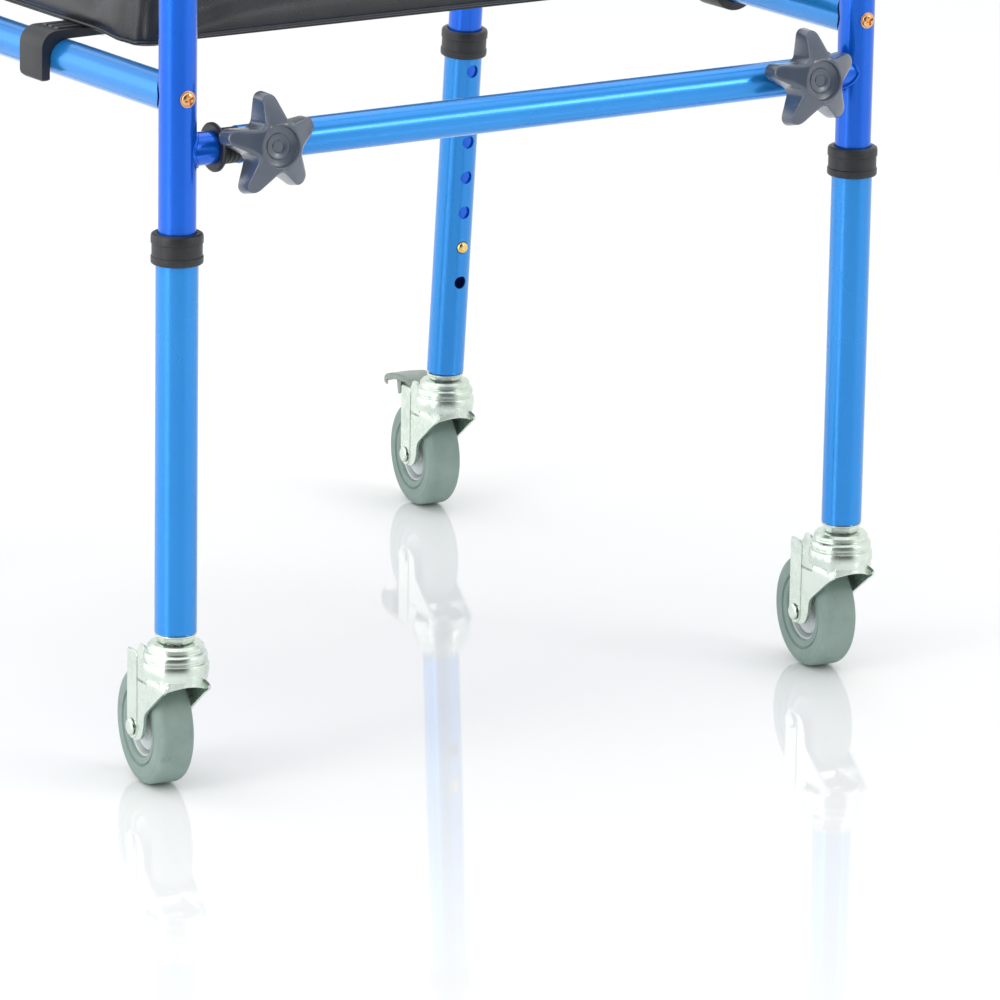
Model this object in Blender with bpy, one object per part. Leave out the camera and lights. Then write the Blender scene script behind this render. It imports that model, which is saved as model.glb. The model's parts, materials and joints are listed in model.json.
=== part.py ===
# Walking frame with a flip-up seat: two tubular side frames joined by crossbars,
# four telescopic legs on swivel castors. Metres, +Z up, the front faces -Y.
import bpy
import bmesh
from math import cos, pi, radians, sin, tan
from mathutils import Matrix, Vector

# overall sizes
TRACK = 0.554  # between the axes of the left and right posts
FOOT_DEPTH = 0.5236  # front post axis to rear post axis, at floor level
TOP_HEIGHT = 0.863  # axis of the top tube above the floor
REAR_SPLAY = radians(4.28)  # rear posts lean back at the foot
TOP_BEND_RADIUS = 0.075

TOUCH_GAP = 0.0003  # between pieces that touch
SLIDE_GAP = 0.0004  # between tubes that slide or turn in each other
HOLE_GAP = 0.0006  # round a fastener in its hole
HOOK_GAP = 0.0005  # between the seat's saddles and the rail

# welded tubes
POST_RADIUS = 0.0127
POST_WALL = 0.00125
RAIL_RADIUS = 0.0127
RAIL_WALL = 0.0012
RAIL_HEIGHT = 0.4798
CROSSBAR_RADIUS = 0.0127
CROSSBAR_WALL = 0.0017
CROSSBAR_HEIGHTS = {"lower": 0.4427, "upper": 0.703}

# crossbar joints
BUSH_SLEEVE = 0.0012  # wall of the bush inside the crossbar
BUSH_SLEEVE_RADIUS = CROSSBAR_RADIUS - CROSSBAR_WALL - SLIDE_GAP
BUSH_LIP = 0.0039  # the bush's flange stands this far outside the crossbar
BUSH_FLANGE_RADIUS = CROSSBAR_RADIUS + BUSH_LIP
BUSH_FLANGE = 0.0035
BUSH_NECK_STEP = 0.0005
BUSH_NECK_RADIUS = CROSSBAR_RADIUS - BUSH_NECK_STEP
BUSH_NECK = 0.0155
STUB_SPIGOT_RADIUS = BUSH_SLEEVE_RADIUS - BUSH_SLEEVE - SLIDE_GAP
STUB_STEP = 0.0022  # the stub's shoulder outside its spigot
STUB_RADIUS = STUB_SPIGOT_RADIUS + STUB_STEP
STUB_WALL = 0.0015
STUB_SHOULDER = 0.0255
STUB_LENGTH = 0.0760
KNOB_INSET = 0.056
KNOB_RADIUS = 0.0375
KNOB_VALLEY = 0.0185
KNOB_DEPTH = 0.0255  # back of the boss to the front of the hub
KNOB_HUB_RADIUS = 0.0172
KNOB_HUB_EDGE = 0.001
KNOB_BOSS_RADIUS = 0.0140
KNOB_ARM_DEPTH = 0.0098
KNOB_TURN = radians(21.0)  # from level to the first arm
KNOB_LIFT = radians(6.5)  # the knobs point this far upwards
STUD_RADIUS = 0.0040

# telescopic legs
LEG_WALL = 0.0012
LEG_RADIUS = POST_RADIUS + SLIDE_GAP + LEG_WALL
HOLE_PITCH = 0.028
HOLE_COUNT = 7
LOWEST_HOLE = 0.1895
BUTTON_HOLE = 1  # the button sits in this hole, counted from the lowest
HOLE_RADIUS = 0.0050
BUTTON_PROUD = 0.0022
POST_BELOW_BUTTON = 0.024
COLLAR_WALL = 0.0030
COLLAR_RADIUS = LEG_RADIUS + TOUCH_GAP + COLLAR_WALL
COLLAR_TOP = 0.3885
COLLAR_LENGTH = 0.0210
COLLAR_BOTTOM = COLLAR_TOP - COLLAR_LENGTH
COLLAR_LIP = 0.0050  # the collar reaches this far above the leg
LEG_TOP = COLLAR_TOP - COLLAR_LIP

# castors
WHEEL_RADIUS = 0.0405
TYRE_WIDTH = 0.026
TYRE_DEPTH = 0.0210
TYRE_SHOULDER = 0.005
TRAIL = 0.034
CASTOR_TURN = radians(8.0)
FORK_PLATE = 0.0020
FORK_GAP = 0.0304
HUB_CLEARANCE = 0.0007  # each side, inside the fork
HUB_WIDTH = FORK_GAP - 2 * HUB_CLEARANCE
HUB_SPINDLE = 0.005  # wall of the hub round the axle
CROWN_CLEARANCE = 0.0030  # wheel to the underside of the crown
CROWN_HEIGHT = 2 * WHEEL_RADIUS + CROWN_CLEARANCE
CROWN_FRONT = 0.0175  # ahead of the swivel axis
CROWN_BACK = 0.0215
CHEEK_NOSE = 0.0210  # the cheeks' foremost point, ahead of the swivel axis
CHEEK_BACK = 0.0080  # behind the axle
CHEEK_DROP = 0.0075  # below the axle
CHEEK_FRONT = 0.0205  # the cheeks' lower front edge, ahead of the axle
HEAD_DEPTH = 0.0235
HEAD_TOP = CROWN_HEIGHT + HEAD_DEPTH
HEAD_RADIUS = 0.0227
EAR_BELOW_HEAD = 0.0125
STEM_RADIUS = 0.0050
NUT_RADIUS = 0.0120
NUT_HEIGHT = 0.0070
LEG_BOTTOM = HEAD_TOP + NUT_HEIGHT
PLUG_GAP = 0.0021  # round the plug in the foot of the leg
PLUG_RADIUS = LEG_RADIUS - LEG_WALL - PLUG_GAP
PLUG_HEIGHT = 0.0120
AXLE_RADIUS = 0.0040
AXLE_HEAD = 0.0027
AXLE_LENGTH = FORK_GAP + 2 * (FORK_PLATE + AXLE_HEAD)
PEDAL_WIDTH = 0.0300
PEDAL_PLATE = 0.0022

# seat
SEAT_FRONT = 0.070  # behind the front post axis
SEAT_DEPTH = 0.295
SEAT_SIDE_INSET = 0.009  # seat edge inside the post axis
BOARD_THICKNESS = 0.010
PAD_THICKNESS = 0.048
SEAT_CORNER = 0.026
BOARD_EDGE = 0.001
PAD_EDGE = 0.008
HOOK_THICKNESS = 0.0062
HOOK_WIDTH = 0.0300
HOOK_DROP = 0.0146  # below the rail's axis
HOOK_TAB = 0.045
HOOK_STATIONS = (0.159, 0.303)

# grips and screws
GRIP_WALL = 0.0037
GRIP_RADIUS = POST_RADIUS + SLIDE_GAP + GRIP_WALL
GRIP_LENGTH = 0.135
GRIP_CENTRE = 0.245
GRIP_EDGE = 0.002
SCREW_HEAD_RADIUS = 0.0048
SCREW_HEAD = 0.0028
SCREW_SHANK_RADIUS = 0.0024
SCREW_GRIP = 0.0196  # the shank reaches this far past the post

SIDES = 12
HEAD_SIDES = 16
TYRE_SIDES = 24
HUB_SIDES = 16
KNOB_SIDES = 20
SMALL_SIDES = 10

POST_BORE = POST_RADIUS - POST_WALL
SCREW_SHANK = 2 * POST_RADIUS + SCREW_GRIP
RAIL_TOP = RAIL_HEIGHT + RAIL_RADIUS
BOARD_BOTTOM = RAIL_TOP + HOOK_GAP + HOOK_THICKNESS + TOUCH_GAP
BUTTON_HEIGHT = LOWEST_HOLE + BUTTON_HOLE * HOLE_PITCH

SIDE_SIGNS = {"left": -1, "right": 1}
END_NAMES = ("front", "rear")


def material(name, colour, roughness, metallic):
    made = bpy.data.materials.new(name)
    made.use_nodes = True
    shader = made.node_tree.nodes["Principled BSDF"]
    shader.inputs["Base Color"].default_value = (*colour, 1.0)
    shader.inputs["Roughness"].default_value = roughness
    shader.inputs["Metallic"].default_value = metallic
    return made


def empty(name, parent, location=(0, 0, 0), rotation=(0, 0, 0)):
    made = bpy.data.objects.new(name, None)
    made.location = location
    made.rotation_euler = rotation
    made.parent = parent
    bpy.context.scene.collection.objects.link(made)
    return made


def mesh_object(name, bm, finish, parent, location=(0, 0, 0), rotation=(0, 0, 0)):
    bmesh.ops.recalc_face_normals(bm, faces=bm.faces[:])
    mesh = bpy.data.meshes.new(name)
    bm.to_mesh(mesh)
    bm.free()
    mesh.shade_smooth()
    mesh.set_sharp_from_angle(angle=radians(35))
    made = bpy.data.objects.new(name, mesh)
    made.location = location
    made.rotation_euler = rotation
    made.parent = parent
    if finish is not None:
        mesh.materials.append(finish)
    bpy.context.scene.collection.objects.link(made)
    return made


def boolean(target, tool, operation):
    modifier = target.modifiers.new(tool.name, "BOOLEAN")
    modifier.operation = operation
    modifier.object = tool
    tool.hide_render = True
    tool.display_type = "WIRE"


def add_loops(bm, loops, closed=False):
    rows = [[bm.verts.new(point) for point in loop] for loop in loops]
    pairs = list(zip(rows, rows[1:] + rows[:1] if closed else rows[1:]))
    for low, high in pairs:
        for i in range(len(low)):
            j = (i + 1) % len(low)
            bm.faces.new((low[i], low[j], high[j], high[i]))
    if not closed:
        bm.faces.new(rows[0])
        bm.faces.new(rows[-1])


def loft(loops, closed=False):
    bm = bmesh.new()
    add_loops(bm, loops, closed)
    return bm


def circle(radius, height, sides=SIDES):
    turns = [2 * pi * i / sides for i in range(sides)]
    return [Vector((radius * cos(a), radius * sin(a), height)) for a in turns]


def turned(profile, sides=SIDES, closed=True):
    # a closed profile makes a ring, an open one a solid with flat ends
    return loft([circle(radius, height, sides) for radius, height in profile], closed)


def add_rod(bm, start, end, radius, sides=SIDES):
    start = Vector(start)
    direction = Vector(end) - start
    turn = direction.to_track_quat("Z", "Y").to_matrix().to_4x4()
    place = Matrix.Translation(start) @ turn
    loops = [circle(radius, 0, sides), circle(radius, direction.length, sides)]
    add_loops(bm, [[place @ point for point in loop] for loop in loops])


def rods(name, parent, runs, radius, sides=12):
    bm = bmesh.new()
    for start, end in runs:
        add_rod(bm, start, end, radius, sides)
    return mesh_object(name, bm, None, parent)


def swept(path, radius, sides=SIDES):
    # the path lies in a plane of constant X
    loops = []
    across = Vector((1, 0, 0))
    for i, point in enumerate(path):
        ahead = path[min(i + 1, len(path) - 1)]
        behind = path[max(i - 1, 0)]
        normal = (ahead - behind).normalized().cross(across)
        turns = [2 * pi * k / sides for k in range(sides)]
        loops.append([point + across * radius * cos(a) + normal * radius * sin(a) for a in turns])
    return loft(loops)


def extruded(outline, low, high):
    # an outline in the YZ plane, pushed from X = low to X = high
    loops = [[Vector((x, y, z)) for y, z in outline] for x in (low, high)]
    return loft(loops)


def arc(centre, radius, start, end, steps):
    turns = [start + (end - start) * i / steps for i in range(steps + 1)]
    return [(centre[0] + radius * cos(a), centre[1] + radius * sin(a)) for a in turns]


def rounded_rectangle(low, high, radius, steps=5):
    corners = (
        (high[0] - radius, high[1] - radius, 0),
        (low[0] + radius, high[1] - radius, pi / 2),
        (low[0] + radius, low[1] + radius, pi),
        (high[0] - radius, low[1] + radius, 3 * pi / 2),
    )
    points = []
    for x, y, start in corners:
        points += arc((x, y), radius, start, start + pi / 2, steps)
    return points


def rear_axis(height):
    return FOOT_DEPTH - tan(REAR_SPLAY) * height


def side_path(extend=0.0):
    # front post, top bend, top tube, rear bend and rear post, in the YZ plane
    post_end = BUTTON_HEIGHT - POST_BELOW_BUTTON - extend
    rear_turn = TOP_BEND_RADIUS * tan((pi / 2 - REAR_SPLAY) / 2)
    rear_bend = (rear_axis(TOP_HEIGHT) - rear_turn, TOP_HEIGHT - TOP_BEND_RADIUS)
    front_bend = (TOP_BEND_RADIUS, TOP_HEIGHT - TOP_BEND_RADIUS)
    points = [(0.0, post_end)]
    points += arc(front_bend, TOP_BEND_RADIUS, pi, pi / 2, 7)
    points += arc(rear_bend, TOP_BEND_RADIUS, pi / 2, REAR_SPLAY, 7)
    points.append((FOOT_DEPTH - sin(REAR_SPLAY) * post_end, cos(REAR_SPLAY) * post_end))
    return [Vector((0, y, z)) for y, z in points]


def side_frame(side, finish, root):
    sign = SIDE_SIGNS[side]
    origin = empty(f"{side}_side_axis", root, (sign * TRACK / 2, 0, 0))
    frame = mesh_object(f"{side}_side_frame", swept(side_path(), POST_RADIUS), finish, origin)
    stubs = bmesh.new()
    stub_bores = bmesh.new()
    for height in CROSSBAR_HEIGHTS.values():
        profile = (
            (STUB_RADIUS, 0.0),
            (STUB_RADIUS, STUB_SHOULDER),
            (STUB_SPIGOT_RADIUS, STUB_SHOULDER),
            (STUB_SPIGOT_RADIUS, STUB_LENGTH),
        )
        loops = []
        for radius, inset in profile:
            ring = circle(radius, 0)
            loops.append([Vector((-sign * inset, p.x, p.y + height)) for p in ring])
        add_loops(stubs, loops)
        bore_end = (-sign * (STUB_LENGTH + POST_WALL), 0, height)
        add_rod(stub_bores, (0, 0, height), bore_end, STUB_SPIGOT_RADIUS - STUB_WALL)
    boolean(frame, mesh_object(f"{side}_stub_shape", stubs, None, origin), "UNION")
    bore = swept(side_path(POST_WALL), POST_BORE)
    boolean(frame, mesh_object(f"{side}_bore_shape", bore, None, origin), "DIFFERENCE")
    boolean(frame, mesh_object(f"{side}_stub_bores", stub_bores, None, origin), "DIFFERENCE")
    drill_side_frame(side, frame, origin)
    return origin


def stud_run(x, height, reach):
    # from the crossbar's axis out along a knob's stud
    out = Vector((0, -cos(KNOB_LIFT), sin(KNOB_LIFT)))
    axis = Vector((x, 0, height))
    return axis + out * reach, axis


def drill_side_frame(side, frame, origin):
    sign = SIDE_SIGNS[side]
    clear = STUD_RADIUS + HOLE_GAP
    reach = STUB_SPIGOT_RADIUS + POST_WALL
    inset = -sign * KNOB_INSET
    runs = [stud_run(inset, z, reach) for z in CROSSBAR_HEIGHTS.values()]
    boolean(frame, rods(f"{side}_stud_holes", origin, runs, clear), "DIFFERENCE")
    past = POST_RADIUS + POST_WALL
    rear = rear_axis(RAIL_HEIGHT)
    runs = [
        ((0, -past, RAIL_HEIGHT), (0, past, RAIL_HEIGHT)),
        ((0, rear - past, RAIL_HEIGHT), (0, rear + past, RAIL_HEIGHT)),
    ]
    shank = SCREW_SHANK_RADIUS + HOLE_GAP
    boolean(frame, rods(f"{side}_screw_holes", origin, runs, shank), "DIFFERENCE")
    lean = Vector((0, -sin(REAR_SPLAY), cos(REAR_SPLAY)))
    facing = Vector((0, -cos(REAR_SPLAY), -sin(REAR_SPLAY)))
    rear_button = Vector((0, FOOT_DEPTH, 0)) + lean * BUTTON_HEIGHT
    runs = [
        ((0, 0, BUTTON_HEIGHT), (0, past, BUTTON_HEIGHT)),
        (rear_button, rear_button + facing * past),
    ]
    boolean(frame, rods(f"{side}_button_holes", origin, runs, HOLE_RADIUS), "DIFFERENCE")


def side_rail(side, finish, origin):
    rear = rear_axis(RAIL_HEIGHT)
    loops = []
    for radius, y in (
        (RAIL_RADIUS, 0.0),
        (RAIL_RADIUS, rear),
        (RAIL_RADIUS - RAIL_WALL, rear),
        (RAIL_RADIUS - RAIL_WALL, 0.0),
    ):
        loops.append([Vector((p.x, y, p.y + RAIL_HEIGHT)) for p in circle(radius, 0)])
    rail = mesh_object(f"{side}_side_rail", loft(loops, closed=True), finish, origin)
    half = Vector((0, 0, 2 * RAIL_RADIUS))
    lean = Vector((0, -tan(REAR_SPLAY), 1)) * 2 * RAIL_RADIUS
    front = Vector((0, 0, RAIL_HEIGHT))
    back = Vector((0, rear, RAIL_HEIGHT))
    runs = [(front - half, front + half), (back - lean, back + lean)]
    clear = POST_RADIUS + SLIDE_GAP
    saddles = rods(f"{side}_rail_saddles", origin, runs, clear, sides=24)
    boolean(rail, saddles, "DIFFERENCE")


def rail_screws(side, finish, origin):
    profile = (
        (SCREW_SHANK_RADIUS, SCREW_SHANK),
        (SCREW_SHANK_RADIUS, 0.0),
        (SCREW_HEAD_RADIUS, 0.0),
        (SCREW_HEAD_RADIUS, -SCREW_HEAD * 0.4),
        (SCREW_HEAD_RADIUS * 0.6, -SCREW_HEAD),
    )
    seat = POST_RADIUS + TOUCH_GAP
    tilt_room = SCREW_HEAD_RADIUS * tan(REAR_SPLAY)
    places = {
        "front": (-seat, radians(-90)),
        "rear": (rear_axis(RAIL_HEIGHT) + seat / cos(REAR_SPLAY) + tilt_room, radians(90)),
    }
    for end, (y, turn) in places.items():
        body = turned(profile, SMALL_SIDES, closed=False)
        place = (0, y, RAIL_HEIGHT)
        mesh_object(f"{side}_{end}_rail_screw", body, finish, origin, place, (turn, 0, 0))


def crossbar(level, finish, root):
    height = CROSSBAR_HEIGHTS[level]
    half = TRACK / 2 - STUB_SHOULDER - BUSH_FLANGE - BUSH_NECK - 3 * TOUCH_GAP
    bore = CROSSBAR_RADIUS - CROSSBAR_WALL
    profile = (
        (CROSSBAR_RADIUS, -half),
        (CROSSBAR_RADIUS, half),
        (bore, half),
        (bore, -half),
    )
    loops = []
    for radius, x in profile:
        loops.append([Vector((x, p.x, p.y + height)) for p in circle(radius, 0)])
    bar = mesh_object(f"{level}_crossbar", loft(loops, closed=True), finish, root)
    inset = TRACK / 2 - KNOB_INSET
    past = CROSSBAR_RADIUS + CROSSBAR_WALL
    runs = [stud_run(sign * inset, height, past) for sign in (-1, 1)]
    boolean(bar, rods(f"{level}_crossbar_holes", root, runs, STUD_RADIUS + HOLE_GAP), "DIFFERENCE")


def crossbar_bush(side, level, finish, origin):
    sign = SIDE_SIGNS[side]
    height = CROSSBAR_HEIGHTS[level]
    start = STUB_SHOULDER + TOUCH_GAP
    neck = start + BUSH_FLANGE
    spigot = neck + BUSH_NECK
    bore = STUB_SPIGOT_RADIUS + SLIDE_GAP
    profile = (
        (bore, start),
        (BUSH_FLANGE_RADIUS, start),
        (BUSH_FLANGE_RADIUS, neck),
        (BUSH_NECK_RADIUS, neck),
        (BUSH_NECK_RADIUS, spigot),
        (BUSH_SLEEVE_RADIUS, spigot),
        (BUSH_SLEEVE_RADIUS, STUB_LENGTH + BUSH_FLANGE),
        (bore, STUB_LENGTH + BUSH_FLANGE),
    )
    loops = []
    for radius, inset in profile:
        ring = circle(radius, 0)
        loops.append([Vector((-sign * inset, p.x, p.y + height)) for p in ring])
    name = f"{side}_{level}_crossbar_bush"
    bush = mesh_object(name, loft(loops, closed=True), finish, origin)
    run = stud_run(-sign * KNOB_INSET, height, CROSSBAR_RADIUS)
    boolean(bush, rods(f"{name}_hole", origin, [run], STUD_RADIUS + HOLE_GAP), "DIFFERENCE")


def star(scale, height, arms=5):
    middle = (KNOB_RADIUS + KNOB_VALLEY) / 2
    swing = (KNOB_RADIUS - KNOB_VALLEY) / 2
    points = []
    for i in range(KNOB_SIDES):
        a = 2 * pi * i / KNOB_SIDES
        radius = scale * (middle + swing * cos(arms * a))
        points.append(Vector((radius * cos(a), radius * sin(a), height)))
    return points


def star_knob(side, level, finish, origin):
    # local Z points forwards, out of the knob's face, from the crossbar's axis
    sign = SIDE_SIGNS[side]
    back = CROSSBAR_RADIUS + TOUCH_GAP
    front = back + KNOB_DEPTH
    arms = BUSH_FLANGE_RADIUS + HOLE_GAP
    loops = [
        circle(STUD_RADIUS, -STUB_SPIGOT_RADIUS / 4, KNOB_SIDES),
        circle(STUD_RADIUS, back, KNOB_SIDES),
        circle(KNOB_BOSS_RADIUS, back, KNOB_SIDES),
        circle(KNOB_BOSS_RADIUS, arms, KNOB_SIDES),
        star(0.94, arms),
        star(1.00, arms + 0.35 * KNOB_ARM_DEPTH),
        star(0.92, arms + KNOB_ARM_DEPTH),
        circle(KNOB_HUB_RADIUS, back + 0.55 * KNOB_DEPTH, KNOB_SIDES),
        circle(KNOB_HUB_RADIUS, front - KNOB_HUB_EDGE, KNOB_SIDES),
        circle(KNOB_HUB_RADIUS - KNOB_HUB_EDGE, front, KNOB_SIDES),
    ]
    body = loft(loops)
    body.transform(Matrix.Rotation(KNOB_TURN, 4, "Z"))
    place = (-sign * KNOB_INSET, 0, CROSSBAR_HEIGHTS[level])
    lift = (pi / 2 - KNOB_LIFT, 0, 0)
    mesh_object(f"{side}_{level}_star_knob", body, finish, origin, place, lift)


def handgrip(side, finish, origin):
    bore = POST_RADIUS + SLIDE_GAP
    start = GRIP_CENTRE - GRIP_LENGTH / 2
    end = GRIP_CENTRE + GRIP_LENGTH / 2
    profile = (
        (bore, start),
        (bore, end),
        (GRIP_RADIUS - GRIP_EDGE, end),
        (GRIP_RADIUS, end - 2 * GRIP_EDGE),
        (GRIP_RADIUS, start + 2 * GRIP_EDGE),
        (GRIP_RADIUS - GRIP_EDGE, start),
    )
    loops = []
    for radius, y in profile:
        loops.append([Vector((p.x, y, p.y + TOP_HEIGHT)) for p in circle(radius, 0)])
    mesh_object(f"{side}_handgrip", loft(loops, closed=True), finish, origin)


def leg_axis(side, end, root):
    # the leg's own frame: Z up the leg, the holes face local -Y
    x = SIDE_SIGNS[side] * TRACK / 2
    if end == "front":
        return empty(f"{side}_front_leg_axis", root, (x, 0, 0), (0, 0, pi))
    return empty(f"{side}_rear_leg_axis", root, (x, FOOT_DEPTH, 0), (REAR_SPLAY, 0, 0))


def lower_leg(name, finish, axis):
    bore = POST_RADIUS + SLIDE_GAP
    profile = (
        (LEG_RADIUS, LEG_BOTTOM),
        (LEG_RADIUS, LEG_TOP),
        (bore, LEG_TOP),
        (bore, LEG_BOTTOM),
    )
    leg = mesh_object(f"{name}_lower_leg", turned(profile), finish, axis)
    heights = [LOWEST_HOLE + i * HOLE_PITCH for i in range(HOLE_COUNT)]
    reach = -LEG_RADIUS - POST_WALL
    runs = [((0, 0, z), (0, reach, z)) for z in heights]
    boolean(leg, rods(f"{name}_leg_holes", axis, runs, HOLE_RADIUS), "DIFFERENCE")


def leg_collar(name, finish, axis):
    inner = LEG_RADIUS + TOUCH_GAP
    lip = POST_RADIUS + SLIDE_GAP
    seat = LEG_TOP + TOUCH_GAP
    profile = (
        (inner, COLLAR_BOTTOM),
        (COLLAR_RADIUS, COLLAR_BOTTOM),
        (COLLAR_RADIUS, COLLAR_TOP - COLLAR_WALL),
        (COLLAR_RADIUS - COLLAR_WALL / 2, COLLAR_TOP),
        (lip, COLLAR_TOP),
        (lip, seat),
        (inner, seat),
    )
    mesh_object(f"{name}_leg_collar", turned(profile), finish, axis)


def snap_button(name, finish, axis):
    radius = HOLE_RADIUS - TOUCH_GAP
    tip = LEG_RADIUS + BUTTON_PROUD
    profile = (
        (radius, -tip + POST_WALL + LEG_RADIUS / 2),
        (radius, -LEG_RADIUS),
        (radius * 0.8, -tip + BUTTON_PROUD / 3),
        (radius * 0.4, -tip),
    )
    loops = [[Vector((p.x, y, p.y)) for p in circle(r, 0, SMALL_SIDES)] for r, y in profile]
    mesh_object(f"{name}_snap_button", loft(loops), finish, axis, (0, 0, BUTTON_HEIGHT))


def castor_axis(side, end, root):
    # the castor's own frame: Z is the swivel axis, the wheel trails along local +Y
    x = SIDE_SIGNS[side] * TRACK / 2
    y = 0 if end == "front" else rear_axis(cos(REAR_SPLAY) * LEG_BOTTOM)
    return empty(f"{side}_{end}_castor_axis", root, (x, y, 0), (0, 0, -CASTOR_TURN))


def castor_stem(name, finish, axis):
    nut_low = HEAD_TOP + TOUCH_GAP
    nut_high = LEG_BOTTOM - LEG_RADIUS * tan(REAR_SPLAY) - TOUCH_GAP
    rivet = CROWN_HEIGHT - TOUCH_GAP
    hexagon = [NUT_RADIUS * (1.0 if i % 2 else cos(pi / 6)) for i in range(12)]
    turns = [2 * pi * i / 12 for i in range(12)]
    nut = [(r * cos(a), r * sin(a)) for r, a in zip(hexagon, turns)]
    loops = [
        circle(STEM_RADIUS * 1.6, rivet - 0.0025, 12),
        circle(STEM_RADIUS * 1.8, rivet, 12),
        circle(STEM_RADIUS, rivet, 12),
        circle(STEM_RADIUS, nut_low, 12),
        [Vector((x, y, nut_low)) for x, y in nut],
        [Vector((x, y, nut_high)) for x, y in nut],
        circle(STEM_RADIUS, nut_high, 12),
        circle(STEM_RADIUS, LEG_BOTTOM + TOUCH_GAP, 12),
        circle(PLUG_RADIUS, LEG_BOTTOM + TOUCH_GAP, 12),
        circle(PLUG_RADIUS, LEG_BOTTOM + PLUG_HEIGHT, 12),
    ]
    mesh_object(f"{name}_castor_stem", loft(loops), finish, axis)


def cheek_outline():
    # side view of the fork's cheeks, from the crown's front over the ear to the axle boss
    crown = CROWN_HEIGHT + FORK_PLATE
    ear = HEAD_TOP - EAR_BELOW_HEAD
    back = TRAIL + CHEEK_BACK
    foot = WHEEL_RADIUS - CHEEK_DROP
    front = TRAIL - CHEEK_FRONT
    slope = CHEEK_NOSE + front  # run of the diagonal front edge
    return [
        (-CHEEK_NOSE * 0.9, crown),
        (CROWN_BACK, crown),
        (CROWN_BACK + FORK_PLATE, ear),
        (back, ear),
        (back, WHEEL_RADIUS),
        (back - CHEEK_DROP * 0.5, foot + CHEEK_DROP * 0.3),
        (back - CHEEK_DROP * 1.4, foot),
        (front + CHEEK_DROP, WHEEL_RADIUS),
        (front, WHEEL_RADIUS + CHEEK_DROP),
        (front, WHEEL_RADIUS + 2 * CHEEK_DROP),
        (-CHEEK_NOSE + slope * 0.55, crown - slope * 0.45),
        (-CHEEK_NOSE, crown - CHEEK_DROP),
    ]


def castor_fork(name, finish, axis):
    bore = STEM_RADIUS + HOLE_GAP
    rise = HEAD_TOP - CROWN_HEIGHT
    dome = (
        (bore, CROWN_HEIGHT),
        (HEAD_RADIUS * 0.90, CROWN_HEIGHT),
        (HEAD_RADIUS, CROWN_HEIGHT + rise * 0.18),
        (HEAD_RADIUS, CROWN_HEIGHT + rise * 0.42),
        (HEAD_RADIUS * 0.88, CROWN_HEIGHT + rise * 0.72),
        (HEAD_RADIUS * 0.58, HEAD_TOP),
        (bore, HEAD_TOP),
    )
    fork = mesh_object(f"{name}_castor_fork", turned(dome, HEAD_SIDES), finish, axis)
    half = FORK_GAP / 2
    for hand, low in (("near", -half - FORK_PLATE), ("far", half)):
        cheek = extruded(cheek_outline(), low, low + FORK_PLATE)
        boolean(fork, mesh_object(f"{name}_{hand}_cheek", cheek, None, axis), "UNION")
    low = CROWN_HEIGHT + TOUCH_GAP
    high = CROWN_HEIGHT + FORK_PLATE - TOUCH_GAP
    outline = [(-CROWN_FRONT, low), (CROWN_BACK, low), (CROWN_BACK, high), (-CROWN_FRONT, high)]
    web = extruded(outline, -half - FORK_PLATE / 2, half + FORK_PLATE / 2)
    boolean(fork, mesh_object(f"{name}_crown_web", web, None, axis), "UNION")
    bores = bmesh.new()
    add_rod(bores, (0, 0, CROWN_HEIGHT - 0.01), (0, 0, HEAD_TOP + 0.01), bore, HEAD_SIDES)
    boolean(fork, mesh_object(f"{name}_fork_bore", bores, None, axis), "DIFFERENCE")
    reach = half + 2 * FORK_PLATE
    run = ((-reach, TRAIL, WHEEL_RADIUS), (reach, TRAIL, WHEEL_RADIUS))
    holes = rods(f"{name}_axle_hole", axis, [run], AXLE_RADIUS + TOUCH_GAP)
    boolean(fork, holes, "DIFFERENCE")


def wheel_axis(name, axis):
    # local Z is the wheel's axle
    return empty(f"{name}_wheel_axis", axis, (0, TRAIL, WHEEL_RADIUS), (0, radians(90), 0))


def castor_tyre(name, finish, axle):
    seat = WHEEL_RADIUS - TYRE_DEPTH
    half = TYRE_WIDTH / 2
    profile = (
        (seat, -half),
        (seat, half),
        (WHEEL_RADIUS - TYRE_SHOULDER, half),
        (WHEEL_RADIUS, half * 0.55),
        (WHEEL_RADIUS, -half * 0.55),
        (WHEEL_RADIUS - TYRE_SHOULDER, -half),
    )
    mesh_object(f"{name}_castor_tyre", turned(profile, TYRE_SIDES), finish, axle)


def castor_hub(name, finish, axle):
    rim = WHEEL_RADIUS - TYRE_DEPTH - TOUCH_GAP
    bore = AXLE_RADIUS + SLIDE_GAP
    spindle = bore + HUB_SPINDLE
    half = HUB_WIDTH / 2
    web = half * 0.45
    profile = (
        (bore, -half),
        (bore, half),
        (spindle, half),
        (spindle, web),
        (rim, half * 0.8),
        (rim, -half * 0.8),
        (spindle, -web),
        (spindle, -half),
    )
    mesh_object(f"{name}_castor_hub", turned(profile, HUB_SIDES), finish, axle)


def castor_axle(name, finish, axle):
    half = AXLE_LENGTH / 2
    grip = FORK_GAP / 2 + FORK_PLATE + TOUCH_GAP
    profile = (
        (AXLE_RADIUS * 1.5, -half),
        (AXLE_RADIUS * 1.6, -grip),
        (AXLE_RADIUS, -grip),
        (AXLE_RADIUS, grip),
        (AXLE_RADIUS * 1.6, grip),
        (AXLE_RADIUS * 1.5, half),
    )
    mesh_object(f"{name}_castor_axle", turned(profile, SMALL_SIDES, closed=False), finish, axle)


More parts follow.
